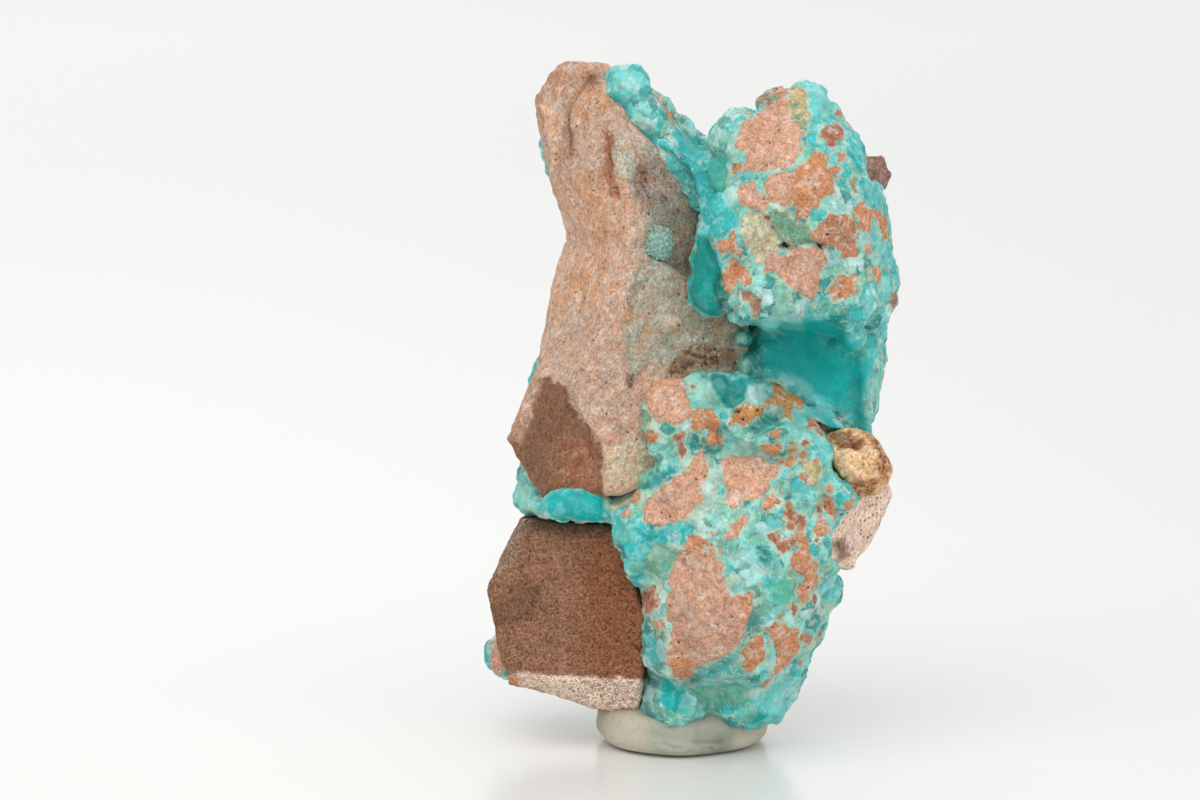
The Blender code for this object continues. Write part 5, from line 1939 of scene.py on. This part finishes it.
@dataclass
class PuttyPad:
    """The wad of putty: pressed flat below, thumbed in at the side, and folded in front.

    Its profile is the squarer the less its wall and its shoulder are, and narrows by the taper.
    """

    centre: Corner = (-1.1, 0.5)
    radii: Corner = (10.6, 9.6)
    height: float = 5.4
    wall: float = 0.32
    shoulder: float = 0.55
    taper: float = 0.05
    sides: int = 360
    rings: int = 90

    def build(self) -> None:
        """Makes the wad and hands it over."""
        put_on(self.shape().make("putty", self.material()), "putty_pad")

    def shape(self) -> Skin:
        """The wad's surface.

        Formula: a rounded profile from the middle below, round the rim, to the middle above, is
        carried round an oval whose radius wavers, and folds are sunk where the viewer sees them.

        Returns:
            The surface.
        """
        around = np.arange(self.sides) * 2 * np.pi / self.sides
        travel = np.linspace(-1, 1, self.rings + 2)[1:-1] * np.pi / 2
        angle, b = np.meshgrid(travel, around, indexing="ij")
        out = np.abs(np.cos(angle)) ** self.wall
        up = 0.5 + 0.5 * np.sign(angle) * np.abs(np.sin(angle)) ** self.shoulder
        reach = out * (1 + 0.025 * np.sin(3 * b + 0.6) + 0.015 * np.sin(7 * b)) * (1 - self.taper * up)
        ring = np.stack([
            self.centre[0] + self.radii[0] * reach * np.cos(b),
            self.centre[1] + self.radii[1] * reach * np.sin(b),
            self.height * up,
        ], -1).reshape(-1, 3)
        places = np.concatenate([ring, [[*self.centre, 0.0]], [[*self.centre, self.height]]])
        skin = Skin(places, capped_faces(self.rings, self.sides, rising=True))
        seen, base = skin.seen(), coat(Tint.PUTTY, places)
        colours, _, height = overlaid(base, seen, PUTTY_ZONES, Seed.PUTTY_EDGES, places)
        height += ripples(places, (3.0, 1.0, 0.5), (0.20, 0.07, 0.04), Seed.PUTTY_WAVES) - 0.1
        height -= creases(places, seen)
        skin.push(height * fade(places[:, 2], 0.25, 1.0))
        skin.marks = {"tint": colours}
        return skin

    @staticmethod
    def material() -> bpy.types.Material:
        """Soft beige putty with smudges and fine creases.

        Returns:
            The material.
        """
        paint = Paint("display putty")
        place = paint.place()
        smudge = paint.noise(place, 2.2, 4.0, 0.9)
        fine = paint.noise(place, 0.4, 3.0)
        dirt = paint.ramp(smudge, 0.45, 0.7) * 0.4
        # Grey smudges of dirt, in the same colour as the painted shade.
        colour = paint.mix(dirt, paint.mark("tint", "Color"), Tint.PUTTY_SHADOW_AND_SMUDGE)
        colour = paint.bright(colour, 1 + (fine - 0.5) * 0.25 + (smudge - 0.5) * 0.25)
        colour = paint.mix(paint.spots(place, 0.5, 0.05, 0.3) * 0.6, colour, Tint.TEAL_GREY)
        return paint.finish(paint.surface(
            Base_Color=colour, Roughness=0.62, Subsurface_Weight=0.08, Subsurface_Scale=1.0 * MM,
            Normal=paint.bump(fine * 0.4 + smudge * 0.8, 0.12),
        ))


@dataclass(frozen=True)
class Lamp:
    """A soft light from far away: its direction from the specimen, its width in degrees, and strength."""

    name: str
    way: Point
    width: float
    strength: float


@dataclass
class Studio:
    """A plain pale floor under soft light from all round, with the main light above in front."""

    sky: float = 0.72
    floor_half: float = 6.0
    lamps: tuple[Lamp, ...] = (
        Lamp("main light", (-0.40, -0.65, 1.0), 55, 1.15),
        Lamp("fill light", (0.75, -0.8, 0.5), 70, 0.65),
        Lamp("rim light", (-0.2, 0.9, 0.7), 60, 0.3),
    )

    def build(self) -> None:
        """Makes the floor, the lights and the camera."""
        self.floor()
        for lamp in self.lamps:
            light = bpy.data.lights.new(lamp.name, "SUN")
            light.energy, light.angle = lamp.strength, np.radians(lamp.width)
            made = placed(lamp.name, light)
            made.rotation_mode = "QUATERNION"
            made.rotation_quaternion = Vector(lamp.way).to_track_quat("Z", "Y")
        world = bpy.data.worlds.new("soft room")
        world.use_nodes = True
        back = world.node_tree.nodes["Background"]
        back.inputs["Color"].default_value = (1.0, 1.0, 0.995, 1)
        back.inputs["Strength"].default_value = self.sky
        bpy.context.scene.world = world
        bpy.context.scene.view_settings.view_transform = "Standard"
        SIGHT.make_camera()

    def floor(self) -> None:
        """A wide sheet of pale, slightly glossy board."""
        wide = self.floor_half
        corners = [(-wide, -wide, 0), (wide, -wide, 0), (wide, wide * 2, 0), (-wide, wide * 2, 0)]
        mesh = bpy.data.meshes.new("floor")
        mesh.from_pydata(corners, [], [(0, 1, 2, 3)])
        paint = Paint("pale board")
        mesh.materials.append(paint.finish(paint.surface(
            Base_Color=Tint.FLOOR, Roughness=0.22, Specular_IOR_Level=0.5,
        )))
        placed("floor", mesh)


ROCKS = (
    Rock("slab_and_blade", "upper_rock", "brown_rock", UPPER_CHUNKS, Tint.SAND, UPPER_ROCK_ZONES),
    Rock("lower_block", "lower_rock", "brown_rock", LOWER_CHUNKS, Tint.BLOCK, LOWER_ROCK_ZONES, grit=0.15,
         waves=(0.3, 0.24, 0.16, 0.08),
         finish=RockFinish(0.24, 1.9, 1.0, haze=0.14, warmth=0.1, pits=0.012, stretch=(1.2, 1, 1), lean=0)),
    Rock("side_stone", "side_rock", "pink_rock", SIDE_CHUNKS, Tint.SIDE, SIDE_ZONES, step=0.28, grit=0.4,
         waves=(0.3, 0.25, 0.2, 0.15),
         finish=RockFinish(haze=0.25, warmth=0.15, pits=0.24, stretch=(0.9, 1, 1.2))),
    Rock("chip", "brown_chip", "dark_rock", CHIP_CHUNKS, Tint.CHIP, step=0.18, grit=0.5,
         waves=(0.3, 0.3, 0.22, 0.12), finish=RockFinish(contrast=1.4, clouding=1.8, haze=0.3, warmth=0.1)),
    Nodule("nodule", "tan_nodule", "tan_rock", (), Tint.NODULE, NODULE_ZONES, step=0.22, grit=0.35,
           waves=(0.4, 0.3, 0.24, 0.1),
           finish=RockFinish(clouding=1.5, haze=0.4, warmth=0.45, relief=0.2, stretch=(1, 1, 1))),
)


def main() -> None:
    """Builds the studio, then each part of the specimen, from the rocks outwards."""
    logging.basicConfig(level=logging.INFO, format="%(name)s: %(message)s")
    Studio().build()
    for piece in (*ROCKS, Crust(), Rosette(), PuttyPad()):
        piece.build()


if __name__ == "__main__":
    main()
